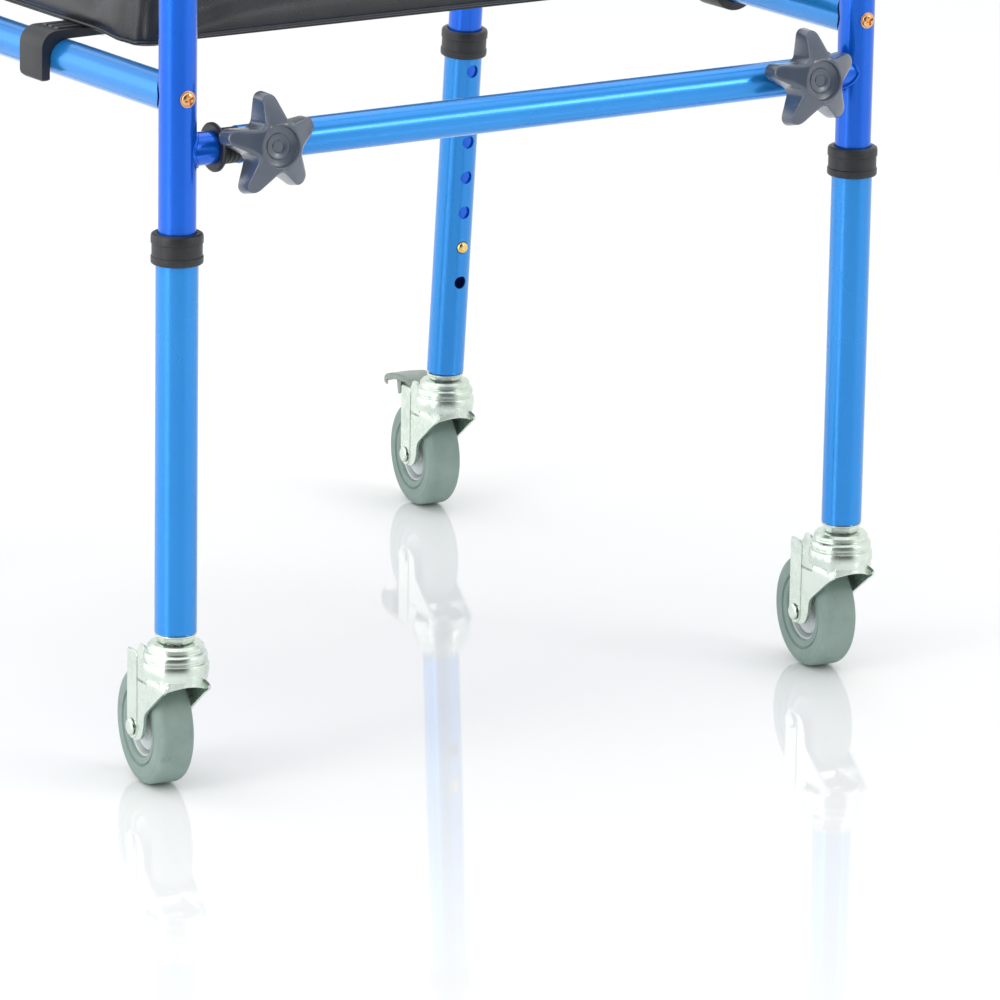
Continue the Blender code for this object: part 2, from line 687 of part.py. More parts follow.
def brake_pedal(name, finish, axis):
    # a bent plate that lies over the wheel and turns between the fork's ears
    pivot = empty(f"{name}_pedal_axis", axis, (0, TRAIL, HEAD_TOP - EAR_BELOW_HEAD))
    edge = [(-0.004, 0.000), (0.010, 0.003), (0.034, 0.001), (0.052, -0.004), (0.058, -0.009)]
    upper = [(y, z + PEDAL_PLATE) for y, z in edge]
    half = FORK_GAP / 2 - SLIDE_GAP
    plate = extruded(edge + upper[::-1], -half, half)
    pedal = mesh_object(f"{name}_brake_pedal", plate, finish, pivot)
    tread = edge[2:] + upper[:1:-1]
    wide = extruded(tread, -PEDAL_WIDTH / 2, PEDAL_WIDTH / 2)
    boolean(pedal, mesh_object(f"{name}_tread_shape", wide, None, pivot), "UNION")


def seat_axis(root):
    # the seat turns on the right side rail
    return empty("seat_axis", root, (TRACK / 2, 0, RAIL_HEIGHT))


def seat_slab(name, finish, axis, low, high, edge):
    half = TRACK / 2 - SEAT_SIDE_INSET
    base = (-TRACK / 2 - half, SEAT_FRONT)
    far = (-TRACK / 2 + half, SEAT_FRONT + SEAT_DEPTH)
    loops = []
    for inset, height in ((edge, low), (0, low + edge), (0, high - edge), (edge, high)):
        corner_low = (base[0] + inset, base[1] + inset)
        corner_high = (far[0] - inset, far[1] - inset)
        outline = rounded_rectangle(corner_low, corner_high, SEAT_CORNER - inset)
        loops.append([Vector((x, y, height - RAIL_HEIGHT)) for x, y in outline])
    mesh_object(name, loft(loops), finish, axis)


def saddle_outline(closed):
    # in the XZ plane round the rail's axis, with the tab reaching under the seat along -X
    inner = RAIL_RADIUS + HOOK_GAP
    outer = inner + HOOK_THICKNESS
    outline = [(-HOOK_TAB, outer), (-HOOK_TAB, outer - HOOK_THICKNESS)]
    if closed:
        outline += arc((0, 0), inner, pi / 2, radians(-244), 16)
        outline += arc((0, 0), outer, radians(-227), pi / 2, 16)
    else:
        outline += arc((0, 0), inner, pi / 2, 0, 8)
        outline += [(inner, -HOOK_DROP), (outer, -HOOK_DROP)]
        outline += arc((0, 0), outer, 0, pi / 2, 8)
    return outline


def saddle(station, finish, axis, name, across, hand):
    # a hook is open under the rail, a hinge clip runs nearly all the way round it
    outline = saddle_outline(closed=hand > 0)
    ends = (station - HOOK_WIDTH / 2, station + HOOK_WIDTH / 2)
    loops = [[Vector((across + hand * x, y, z)) for x, z in outline] for y in ends]
    mesh_object(name, loft(loops), finish, axis)


def build():
    for old in list(bpy.data.objects):
        bpy.data.objects.remove(old, do_unlink=True)
    blue = material("blue_lacquer", (0.02, 0.12, 0.80), 0.22, 0.85)
    charcoal = material("charcoal_plastic", (0.045, 0.05, 0.06), 0.55, 0.0)
    knob_grey = material("knob_plastic", (0.08, 0.09, 0.12), 0.35, 0.0)
    zinc = material("bright_zinc", (0.72, 0.74, 0.72), 0.30, 1.0)
    gold = material("yellow_zinc", (0.80, 0.58, 0.25), 0.32, 1.0)
    brass = material("brass", (0.72, 0.50, 0.20), 0.30, 1.0)
    rubber = material("grey_rubber", (0.26, 0.33, 0.30), 0.60, 0.0)
    white = material("white_plastic", (0.80, 0.82, 0.80), 0.40, 0.0)
    board = material("seat_board", (0.05, 0.05, 0.055), 0.60, 0.0)
    vinyl = material("black_vinyl", (0.02, 0.02, 0.022), 0.45, 0.0)
    root = empty("walking_frame", None)
    for side in SIDE_SIGNS:
        origin = side_frame(side, blue, root)
        side_rail(side, blue, origin)
        rail_screws(side, gold, origin)
        handgrip(side, charcoal, origin)
        for level in CROSSBAR_HEIGHTS:
            crossbar_bush(side, level, charcoal, origin)
            star_knob(side, level, knob_grey, origin)
        for end in END_NAMES:
            name = f"{side}_{end}"
            axis = leg_axis(side, end, root)
            lower_leg(name, blue, axis)
            leg_collar(name, charcoal, axis)
            snap_button(name, brass, axis)
            swivel = castor_axis(side, end, root)
            castor_stem(name, zinc, swivel)
            castor_fork(name, zinc, swivel)
            axle = wheel_axis(name, swivel)
            castor_tyre(name, rubber, axle)
            castor_hub(name, white, axle)
            castor_axle(name, zinc, axle)
            if end == "rear":
                brake_pedal(name, zinc, swivel)
    for level in CROSSBAR_HEIGHTS:
        crossbar(level, blue, root)
    axis = seat_axis(root)
    board_top = BOARD_BOTTOM + BOARD_THICKNESS
    pad_bottom = board_top + TOUCH_GAP
    seat_slab("seat_board", board, axis, BOARD_BOTTOM, board_top, BOARD_EDGE)
    seat_slab("seat_pad", vinyl, axis, pad_bottom, pad_bottom + PAD_THICKNESS, PAD_EDGE)
    for number, station in enumerate(HOOK_STATIONS):
        end = END_NAMES[number]
        saddle(station, charcoal, axis, f"{end}_seat_hook", -TRACK, -1)
        saddle(station, charcoal, axis, f"{end}_seat_hinge_clip", 0, 1)
    centre_on_floor(root)


def centre_on_floor(root):
    # the origin is the middle of the footprint, at floor level
    bpy.context.view_layer.update()
    graph = bpy.context.evaluated_depsgraph_get()
    points = []
    for item in bpy.data.objects:
        if item.type == "MESH" and not item.hide_render:
            shown = item.evaluated_get(graph)
            points += [shown.matrix_world @ vertex.co for vertex in shown.data.vertices]
    low = [min(point[i] for point in points) for i in range(3)]
    high = [max(point[i] for point in points) for i in range(3)]
    root.location = (-(low[0] + high[0]) / 2, -(low[1] + high[1]) / 2, -low[2])


build()
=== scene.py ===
import json
from math import atan2, cos, pi, radians, sin, sqrt, tan
import bmesh
import bpy
import numpy as np
from mathutils import Matrix, Vector
from mathutils.bvhtree import BVHTree


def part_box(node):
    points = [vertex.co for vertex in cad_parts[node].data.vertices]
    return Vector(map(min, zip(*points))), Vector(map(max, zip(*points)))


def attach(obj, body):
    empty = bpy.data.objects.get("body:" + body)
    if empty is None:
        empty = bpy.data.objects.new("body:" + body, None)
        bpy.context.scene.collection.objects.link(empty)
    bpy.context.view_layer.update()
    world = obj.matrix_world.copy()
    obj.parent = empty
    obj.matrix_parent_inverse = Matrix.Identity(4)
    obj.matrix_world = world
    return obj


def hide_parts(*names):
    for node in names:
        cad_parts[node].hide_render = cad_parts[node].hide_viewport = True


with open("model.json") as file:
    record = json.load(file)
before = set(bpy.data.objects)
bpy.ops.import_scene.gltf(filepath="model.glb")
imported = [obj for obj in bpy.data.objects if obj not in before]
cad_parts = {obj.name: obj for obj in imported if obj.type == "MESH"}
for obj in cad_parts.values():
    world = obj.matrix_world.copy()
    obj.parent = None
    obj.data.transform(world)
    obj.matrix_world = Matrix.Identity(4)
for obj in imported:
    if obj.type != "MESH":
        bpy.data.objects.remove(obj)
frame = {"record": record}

scene = bpy.context.scene
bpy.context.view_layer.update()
joints = {joint["name"]: joint for joint in frame["record"]["behaviour"]["joints"]}
sides = {"left": -1, "right": 1}
ends = ("front", "rear")
levels = ("lower", "upper")


def ringPoints(radius, height, count, start=0.0):
    turns = [start + 2 * pi * i / count for i in range(count)]
    return [Vector((radius * cos(a), radius * sin(a), height)) for a in turns]


def addRings(bm, rings, closed=False, capped=True):
    rows = [[bm.verts.new(point) for point in ring] for ring in rings]
    following = rows[1:] + rows[:1] if closed else rows[1:]
    for low, high in zip(rows, following):
        for i in range(len(low)):
            j = (i + 1) % len(low)
            bm.faces.new((low[i], low[j], high[j], high[i]))
    if capped and not closed:
        bm.faces.new(rows[0])
        bm.faces.new(rows[-1])


def ringMesh(rings, closed=False, capped=True):
    bm = bmesh.new()
    addRings(bm, rings, closed, capped)
    return bm


def turnedMesh(profile, count=48, closed=False):
    # profile points are (radius, height); a closed one makes a ring
    return ringMesh([ringPoints(radius, height, count) for radius, height in profile], closed)


def aimed(start, end):
    # a placement whose Z runs from start to end
    start = Vector(start)
    turn = (Vector(end) - start).to_track_quat("Z", "Y").to_matrix().to_4x4()
    return Matrix.Translation(start) @ turn


def framed(across, inward, up, origin):
    # a placement from its three axes and its origin
    turn = Matrix((across, inward, up)).transposed()
    return Matrix.Translation(Vector(origin)) @ turn.to_4x4()


def addRod(bm, start, end, radius, count=32):
    place = aimed(start, end)
    length = (Vector(end) - Vector(start)).length
    rings = [ringPoints(radius, height, count) for height in (0, length)]
    addRings(bm, [[place @ point for point in ring] for ring in rings])


def rodMesh(start, end, radius, count=32):
    bm = bmesh.new()
    addRod(bm, start, end, radius, count)
    return bm


def sweptMesh(path, radius, count=48, closed=False, wave=None):
    # a round bar along a path of points; wave gives its own radius at each point
    rings = []
    total = len(path)
    across = None
    for i, point in enumerate(path):
        if closed:
            along = (path[(i + 1) % total] - path[i - 1]).normalized()
        else:
            along = (path[min(i + 1, total - 1)] - path[max(i - 1, 0)]).normalized()
        if across is None:
            across = along.orthogonal().normalized()
        across = (across - along * across.dot(along)).normalized()
        other = along.cross(across)
        size = radius if wave is None else wave(i)
        turns = [2 * pi * k / count for k in range(count)]
        rings.append([point + size * (across * cos(a) + other * sin(a)) for a in turns])
    return ringMesh(rings, closed)


def arcPoints(centre, radius, start, end, steps):
    turns = [start + (end - start) * i / steps for i in range(steps + 1)]
    return [(centre[0] + radius * cos(a), centre[1] + radius * sin(a)) for a in turns]


def domePoints(radius, low, rise, power):
    # the rounded top of a screw or a button, as (radius, height)
    turns = [pi / 2 * step / 9 for step in range(1, 9)]
    return [(radius * cos(a) ** power, low + rise * sin(a)) for a in turns]


def roundedOutline(points, radii, steps=6):
    # a closed outline whose corners are rounded to the given radii
    outline = []
    total = len(points)
    for i in range(total):
        corner = Vector(points[i])
        before = (Vector(points[i - 1]) - corner).normalized()
        after = (Vector(points[(i + 1) % total]) - corner).normalized()
        half = before.angle(after) / 2
        radius = radii[i] if isinstance(radii, (list, tuple)) else radii
        if radius <= 0:
            outline.append(tuple(corner))
            continue
        centre = corner + (before + after).normalized() * radius / sin(half)
        first = corner + before * radius / tan(half) - centre
        last = corner + after * radius / tan(half) - centre
        start = atan2(first.y, first.x)
        sweep = atan2(last.y, last.x) - start
        sweep = (sweep + pi) % (2 * pi) - pi
        outline += arcPoints(centre, radius, start, start + sweep, steps)
    return outline


def platedMesh(outline, low, high, edge=0.0004, plane="YZ"):
    # an outline pushed along the third axis, with a small rounded edge
    middle = Vector((sum(p[0] for p in outline), sum(p[1] for p in outline))) / len(outline)
    spread = max((Vector(p) - middle).length for p in outline)
    shrink = 1 - edge / spread
    rings = []
    across = "XYZ".index(({"X", "Y", "Z"} - set(plane)).pop())
    for depth, scale in ((low, shrink), (low + edge, 1), (high - edge, 1), (high, shrink)):
        ring = [list(middle + (Vector(p) - middle) * scale) for p in outline]
        for point in ring:
            point.insert(across, depth)
        rings.append([Vector(point) for point in ring])
    return ringMesh(rings)


def joined(*meshes):
    whole = bmesh.new()
    for part in meshes:
        mesh = bpy.data.meshes.new("part")
        part.to_mesh(mesh)
        part.free()
        whole.from_mesh(mesh)
        bpy.data.meshes.remove(mesh)
    return whole


def placed(bm, place):
    bm.transform(place)
    return bm


def settle(piece):
    # keeps what the modifiers make
    graph = bpy.context.evaluated_depsgraph_get()
    mesh = bpy.data.meshes.new_from_object(piece.evaluated_get(graph))
    piece.modifiers.clear()
    piece.data = mesh


def takenMesh(item):
    # the mesh of a helper object after its modifiers; the helper itself goes
    bpy.context.view_layer.update()
    settle(item)
    result = bmesh.new()
    result.from_mesh(item.data)
    bpy.data.objects.remove(item, do_unlink=True)
    return result


def combined(bm, toolMeshes, operation):
    bmesh.ops.recalc_face_normals(bm, faces=bm.faces[:])
    base = rawObject("blank", bm)
    tools = []
    for toolMesh in toolMeshes:
        bmesh.ops.recalc_face_normals(toolMesh, faces=toolMesh.faces[:])
        tool = rawObject("tool", toolMesh)
        cut = base.modifiers.new("cut", "BOOLEAN")
        cut.operation = operation
        cut.object = tool
        tools.append(tool)
    result = takenMesh(base)
    for tool in tools:
        bpy.data.objects.remove(tool, do_unlink=True)
    return result


def rawObject(name, bm):
    mesh = bpy.data.meshes.new(name)
    bm.to_mesh(mesh)
    bm.free()
    item = bpy.data.objects.new(name, mesh)
    scene.collection.objects.link(item)
    return item


def addPiece(name, bm, finish, body, stands=(), crease=32, rounding=0.0):
    bmesh.ops.remove_doubles(bm, verts=bm.verts[:], dist=1e-6)
    bmesh.ops.recalc_face_normals(bm, faces=bm.faces[:])
    piece = rawObject(name, bm)
    piece.data.materials.clear()
    piece.data.materials.append(finishes[finish])
    piece.data.shade_smooth()
    piece.data.set_sharp_from_angle(angle=radians(crease))
    if rounding > 0:
        bevel = piece.modifiers.new("edges", "BEVEL")
        bevel.width = rounding
        bevel.segments = 2
        bevel.limit_method = "ANGLE"
        bevel.angle_limit = radians(crease)
        bevel.harden_normals = True
    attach(piece, body)
    if stands:
        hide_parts(*stands)
    return piece


def addPart(cadName, bm, finish, body, crease=32, name=None, rounding=0.0):
    # a piece that stands for one part of the frame, and has its name unless another is given
    first, *rest = cadName.split("_")
    name = name or first + "".join(word.title() for word in rest)
    return addPiece(name, bm, finish, body, (cadName,), crease, rounding)


def newGroup(name, inputs, outputs):
    group = bpy.data.node_groups.new(name, "ShaderNodeTree")
    for label, value in inputs.items():
        socket = group.interface.new_socket(label, in_out="INPUT", socket_type="NodeSocketFloat")
        socket.default_value = value
    for label in outputs:
        group.interface.new_socket(label, in_out="OUTPUT", socket_type="NodeSocketFloat")
    given = group.nodes.new("NodeGroupInput").outputs
    return group, given, group.nodes.new("NodeGroupOutput").inputs


def feed(tree, socket, value):
    # links another socket, or sets a plain value or colour
    if isinstance(value, bpy.types.NodeSocket):
        tree.links.new(value, socket)
    elif socket.type == "RGBA" and len(value) == 3:
        socket.default_value = (*value, 1.0)
    else:
        socket.default_value = value


def node(tree, kind, *inputs, **settings):
    # inputs go in by their order, settings by their name
    made = tree.nodes.new(kind)
    for key, value in settings.items():
        if key in made.bl_rna.properties:
            setattr(made, key, value)
        else:
            feed(tree, made.inputs[key.replace("_", " ")], value)
    for socket, value in zip(made.inputs, inputs):
        feed(tree, socket, value)
    return made


def objectPoint(tree):
    return tree.nodes.new("ShaderNodeTexCoord").outputs["Object"]


def maths(tree, operation, *values, clamp=False):
    return node(tree, "ShaderNodeMath", *values, operation=operation, use_clamp=clamp).outputs[0]


def noise(tree, point, scale, detail, roughness):
    made = node(tree, "ShaderNodeTexNoise", Vector=point, Scale=scale, Detail=detail,
                Roughness=roughness)
    return made.outputs["Fac"]


def remap(tree, source, low, high, newLow=0.0, newHigh=1.0, kind="LINEAR"):
    made = node(tree, "ShaderNodeMapRange", source, low, high, newLow, newHigh,
                interpolation_type=kind)
    return made.outputs["Result"]


def mixColour(tree, mask, first, second):
    made = node(tree, "ShaderNodeMix", mask, data_type="RGBA")
    feed(tree, made.inputs[6], first)
    feed(tree, made.inputs[7], second)
    return made.outputs[2]


def makeGrainGroup():
    # fine moulded or cast grain as a height, and broad blotches
    inputs = {"Scale": 900.0, "Blotch Scale": 40.0}
    group, given, result = newGroup("fineGrain", inputs, ("Height", "Blotch"))
    point = objectPoint(group)
    feed(group, result["Height"], noise(group, point, given["Scale"], 3.0, 0.6))
    feed(group, result["Blotch"], noise(group, point, given["Blotch Scale"], 4.0, 0.55))
    return group


def makeDustGroup():
    # dust that settles on faces that look up, broken by noise
    inputs = {"Scale": 60.0, "Amount": 0.3}
    group, given, result = newGroup("settledDust", inputs, ("Mask",))
    normal = node(group, "ShaderNodeNewGeometry").outputs["Normal"]
    upward = remap(group, node(group, "ShaderNodeSeparateXYZ", normal).outputs["Z"], 0.1, 1.0)
    broken = remap(group, noise(group, objectPoint(group), given["Scale"], 5.0, 0.6), 0.4, 0.75)
    both = maths(group, "MULTIPLY", upward, broken)
    feed(group, result["Mask"], maths(group, "MULTIPLY", both, given["Amount"]))
    return group


def makeScratchGroup():
    # long thin scuffs, as a mask
    inputs = {"Scale": 25.0, "Stretch": 0.06, "Threshold": 0.66}
    group, given, result = newGroup("thinScuffs", inputs, ("Mask",))
    size = node(group, "ShaderNodeCombineXYZ", 1.0, 1.0, given["Stretch"]).outputs[0]
    stretched = node(group, "ShaderNodeVectorMath", objectPoint(group), size,
                     operation="MULTIPLY").outputs[0]
    streak = noise(group, stretched, given["Scale"], 6.0, 0.7)
    past = maths(group, "SUBTRACT", streak, given["Threshold"])
    sharpness = 14.0
    feed(group, result["Mask"], maths(group, "MULTIPLY", past, sharpness, clamp=True))
    return group


groups = {"grain": makeGrainGroup(), "dust": makeDustGroup(), "scuffs": makeScratchGroup()}


def useGroup(tree, name, **values):
    made = tree.nodes.new("ShaderNodeGroup")
    made.node_tree = groups[name]
    for label, value in values.items():
        made.inputs[label.replace("_", " ")].default_value = value
    return made.outputs


def newFinish(name, **values):
    made = bpy.data.materials.new(name)
    made.use_nodes = True
    tree = made.node_tree
    shader = tree.nodes["Principled BSDF"]
    for label, value in values.items():
        feed(tree, shader.inputs[label.replace("_", " ")], value)
    return made, tree, shader


def surfaced(tree, shader, colour, rough, height, strength, distance=0.0004):
    # colour, roughness and bump go into the shader
    bump = node(tree, "ShaderNodeBump", Strength=strength, Distance=distance, Height=height)
    feed(tree, shader.inputs["Base Color"], colour)
    feed(tree, shader.inputs["Roughness"], rough)
    feed(tree, shader.inputs["Normal"], bump.outputs["Normal"])


def scuffed(tree, base, colour, **values):
    # light scuffs over a colour
    faint = remap(tree, useGroup(tree, "scuffs", **values)["Mask"], 0.0, 1.0, 0.0, 0.30)
    return mixColour(tree, faint, base, colour)


def clouded(tree, first, second, roughness, **values):
    # two colours and two roughnesses in blotches, with the grain's height
    grain = useGroup(tree, "grain", **values)
    colour = mixColour(tree, remap(tree, grain["Blotch"], 0.35, 0.7), first, second)
    return colour, remap(tree, grain["Blotch"], 0.3, 0.7, *roughness), grain["Height"]


lacquer = {
    "deep": (0.001, 0.112, 0.70),
    "light": (0.003, 0.155, 0.82),
    "paleDeep": (0.016, 0.245, 0.70),
    "paleLight": (0.030, 0.310, 0.82),
    "scuff": (0.12, 0.36, 0.85),
    "roughness": (0.20, 0.30),
    "metallic": 0.52,
    "flakeScale": 2600.0,
    "flakeShare": 0.55,
    "cloudShare": 0.45,
}


def makeLacquer(name, deep, light):
    made, tree, shader = newFinish(name, Metallic=lacquer["metallic"], Coat_Weight=0.40,
                                   Coat_Roughness=0.05, Coat_IOR=1.5, Specular_IOR_Level=0.25)
    flakes = node(tree, "ShaderNodeTexVoronoi", Scale=lacquer["flakeScale"],
                  Vector=objectPoint(tree))
    sparkle = remap(tree, flakes.outputs["Distance"], 0.1, 0.8, 1.0, 0.0)
    cloud = useGroup(tree, "grain", Scale=700.0, Blotch_Scale=9.0)
    blotch = remap(tree, cloud["Blotch"], 0.3, 0.7)
    share = remap(tree, blotch, 0.0, 1.0, 0.0, lacquer["cloudShare"])
    both = maths(tree, "MULTIPLY_ADD", sparkle, lacquer["flakeShare"], share, clamp=True)
    paint = scuffed(tree, mixColour(tree, both, deep, light), lacquer["scuff"],
                    Scale=55.0, Stretch=0.25, Threshold=0.70)
    rough = remap(tree, blotch, 0.0, 1.0, *lacquer["roughness"])
    surfaced(tree, shader, paint, rough, cloud["Height"], 0.08)
    return made


def makePlastic(name, colour, worn, roughness, grainScale, bump, dusty=0.15, coat=0.0):
    made, tree, shader = newFinish(name, Coat_Weight=coat, Coat_Roughness=0.25,
                                   Specular_IOR_Level=0.5)
    base, rough, height = clouded(tree, colour, worn, roughness, Scale=grainScale,
                                  Blotch_Scale=28.0)
    dust = useGroup(tree, "dust", Scale=70.0, Amount=dusty)["Mask"]
    grey = tuple(0.5 * channel + 0.18 for channel in worn)
    surfaced(tree, shader, mixColour(tree, dust, base, grey), rough, height, bump, 0.0006)
    return made


def makePlated(name, colour, dull, roughness, scale=35.0):
    made, tree, shader = newFinish(name, Metallic=1.0)
    cloud = node(tree, "ShaderNodeTexVoronoi", Scale=scale * 6, feature="SMOOTH_F1",
                 Vector=objectPoint(tree))
    spangle = remap(tree, cloud.outputs["Distance"], 0.1, 0.7)
    grain = useGroup(tree, "grain", Scale=1400.0, Blotch_Scale=scale)
    mixed = maths(tree, "MULTIPLY", spangle, remap(tree, grain["Blotch"], 0.35, 0.68))
    surfaced(tree, shader, mixColour(tree, mixed, colour, dull),
             remap(tree, mixed, 0.0, 1.0, *roughness), grain["Height"], 0.12)
    return made


rubber = {"fresh": (0.235, 0.325, 0.290), "worn": (0.295, 0.385, 0.345), "dirt": (0.16, 0.20, 0.18)}


def makeRubber():
    made, tree, shader = newFinish("greyRubber", Specular_IOR_Level=0.4)
    base, rough, height = clouded(tree, rubber["fresh"], rubber["worn"], (0.42, 0.62),
                                  Scale=1100.0, Blotch_Scale=55.0)
    dirty = scuffed(tree, base, rubber["dirt"], Scale=90.0, Stretch=1.0, Threshold=0.62)
    surfaced(tree, shader, dirty, rough, height, 0.22, 0.0006)
    return made


vinyl = {"black": (0.006, 0.007, 0.009), "grey": (0.015, 0.018, 0.021), "cellScale": 620.0,
         "creaseScale": 38.0}


def makeVinyl():
    made, tree, shader = newFinish("blackVinyl", Coat_Weight=0.18, Coat_Roughness=0.30)
    point = objectPoint(tree)
    cells = node(tree, "ShaderNodeTexVoronoi", Scale=vinyl["cellScale"], Vector=point,
                 feature="DISTANCE_TO_EDGE")
    creases = noise(tree, point, vinyl["creaseScale"], 5.0, 0.6)
    pebble = remap(tree, cells.outputs["Distance"], 0.0, 0.35)
    height = maths(tree, "MULTIPLY_ADD", pebble, 0.4, creases)
    colour = mixColour(tree, remap(tree, creases, 0.35, 0.7), vinyl["black"], vinyl["grey"])
    surfaced(tree, shader, colour, remap(tree, pebble, 0.0, 1.0, 0.46, 0.34), height, 0.35, 0.0007)
    return made


finishes = {
    "blue_lacquer": makeLacquer("blueLacquer", lacquer["deep"], lacquer["light"]),
    "pale_lacquer": makeLacquer("paleLacquer", lacquer["paleDeep"], lacquer["paleLight"]),
    "charcoal_plastic": makePlastic(
        "charcoalPlastic", (0.010, 0.011, 0.014), (0.020, 0.022, 0.025), (0.34, 0.46), 1500, 0.3,
        0.03),
    "ribbed_plastic": makePlastic(
        "ribbedPlastic", (0.035, 0.045, 0.050), (0.055, 0.066, 0.070), (0.30, 0.42), 1500, 0.3,
        0.04),
    "knob_plastic": makePlastic(
        "knobPlastic", (0.058, 0.076, 0.112), (0.074, 0.094, 0.130), (0.20, 0.28), 1900, 0.12,
        0.03, 0.85),
    "bright_zinc": makePlated("brightZinc", (0.72, 0.80, 0.72), (0.58, 0.66, 0.59), (0.24, 0.40)),
    # a darker copy of the bright zinc for the brake pedal: painted shade, as if the pedal lay in
    # shadow
    "shade_painted_zinc": makePlated("shadePaintedZinc", (0.28, 0.34, 0.30), (0.18, 0.22, 0.20), (0.28, 0.42)),
    "yellow_zinc": makePlated("yellowZinc", (0.86, 0.50, 0.24), (0.62, 0.30, 0.14), (0.20, 0.34)),
    "brass": makePlated("polishedBrass", (0.86, 0.64, 0.22), (0.66, 0.44, 0.16), (0.16, 0.28)),
    "grey_rubber": makeRubber(),
    "white_plastic": makePlastic(
        "whiteNylon", (0.70, 0.74, 0.74), (0.58, 0.63, 0.63), (0.36, 0.48), 800, 0.12, 0.1),
    "seat_board": makePlastic(
        "boardPaint", (0.020, 0.020, 0.022), (0.034, 0.034, 0.036), (0.50, 0.65), 500, 0.35, 0.05),
    "black_vinyl": makeVinyl(),
    "grip_foam": makePlastic(
        "gripRubber", (0.012, 0.012, 0.014), (0.022, 0.022, 0.024), (0.55, 0.75), 1300, 0.55, 0.05),
}
print("finishes ready")


def boxSize(name):
    low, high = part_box(name)
    return Vector(high) - Vector(low)


def boxCentre(name):
    low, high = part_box(name)
    return (Vector(low) + Vector(high)) / 2


postX = {side: joints[f"{side}_front_castor_swivel"]["pos_m"][0] for side in sides}
frontY = joints["left_front_castor_swivel"]["pos_m"][1]
barRadius = boxSize("lower_crossbar").y / 2
legRadius = boxSize("left_front_lower_leg").x / 2
lean = Vector(joints["left_rear_leg_slide"]["axis"])
barHeight = {level: boxCentre(f"{level}_crossbar").z for level in levels}
railHeight = boxCentre("left_side_rail").z
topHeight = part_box("left_side_frame")[1][2] - barRadius
rearLeg = boxCentre("left_rear_lower_leg")


def rearY(height):
    # where the rear posts' axis is at a height
    return rearLeg.y + (height - rearLeg.z) * lean.y / lean.z


def legPlace(side, end):
    # Z up the leg from its lower end, the holes face -Y
    name = f"{side}_{end}"
    up = Vector(joints[f"{name}_leg_slide"]["axis"]).normalized()
    inward = Vector(joints[f"{name}_button_press"]["axis"]).normalized()
    slope = sqrt(max(0.0, 1 - up.z ** 2))
    length = (boxSize(f"{name}_lower_leg").z - 2 * legRadius * slope) / up.z
    foot = boxCentre(f"{name}_lower_leg") - up * length / 2
    return framed(inward.cross(up), inward, up, foot), length


def castorPlace(side, end):
    # Z is the swivel axis from the floor, the wheel trails along +Y
    swivel = Vector(joints[f"{side}_{end}_castor_swivel"]["pos_m"])
    axle = Vector(joints[f"{side}_{end}_wheel_spin"]["pos_m"])
    away = axle - swivel
    turn = atan2(away.y, away.x) - pi / 2
    local = Matrix.Translation((swivel.x, swivel.y, 0)) @ Matrix.Rotation(turn, 4, "Z")
    trail = sqrt(away.x ** 2 + away.y ** 2)
    return local, trail, axle.z


tubing = {
    "count": 64,
    "bendRadius": 0.075,
    "bendSteps": 26,
    "stubRadius": 0.0112,
    "stubShoulder": 0.0255,
    "weldRadius": 0.0013,
    "weldRipple": 0.05,
}


def sidePath():
    # front post, top tube and rear post at X = 0
    radius, steps = tubing["bendRadius"], tubing["bendSteps"]
    splay = atan2(-lean.y, lean.z)
    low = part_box("left_side_frame")[0][2] + 0.001
    backTurn = radius * tan((pi / 2 - splay) / 2)
    front = (frontY + radius, topHeight - radius)
    back = (rearY(topHeight) - backTurn, topHeight - radius)
    points = [(frontY, low)] + arcPoints(front, radius, pi, pi / 2, steps)
    points += arcPoints(back, radius, pi / 2, splay, steps) + [(rearY(low), low)]
    return [Vector((0, y, z)) for y, z in points]


def weldBead(side, level):
    # a smooth bead where the stub meets the post
    count = 96
    radius = tubing["weldRadius"]
    stub = tubing["stubRadius"] + 0.0003
    points = []
    for i in range(count):
        a = 2 * pi * i / count
        y = stub * cos(a)
        x = sqrt(max(barRadius ** 2 - y ** 2, 0.0)) + 0.0003
        points.append(Vector((postX[side] - sides[side] * x, frontY + y,
                              barHeight[level] + stub * sin(a))))

    def size(i):
        return radius * (1 + tubing["weldRipple"] * sin(i * 2 * pi / 8) + 0.04 * sin(i * 0.9))
    return sweptMesh(points, radius, 12, True, size)


def makeSideFrame(side):
    tube = [point + Vector((postX[side], 0, 0)) for point in sidePath()]
    tube = sweptMesh(tube, barRadius, tubing["count"])
    stubs = []
    for level in levels:
        reach = postX[side] - sides[side] * tubing["stubShoulder"]
        start = (postX[side], frontY, barHeight[level])
        stubs.append(rodMesh(start, (reach, *start[1:]), tubing["stubRadius"], 48))
    tube = combined(tube, stubs, "UNION")
    addPart(f"{side}_side_frame", tube, "blue_lacquer", "frame")
    for level in levels:
        addPiece(f"{side}{level.title()}Weld", weldBead(side, level), "blue_lacquer", "frame")


rail = {"wall": 0.0012, "saddleGap": 0.0008, "plugUnder": 0.0006, "plugLength": 0.024,
        "plugGap": 0.0002, "cutHalf": 0.03}


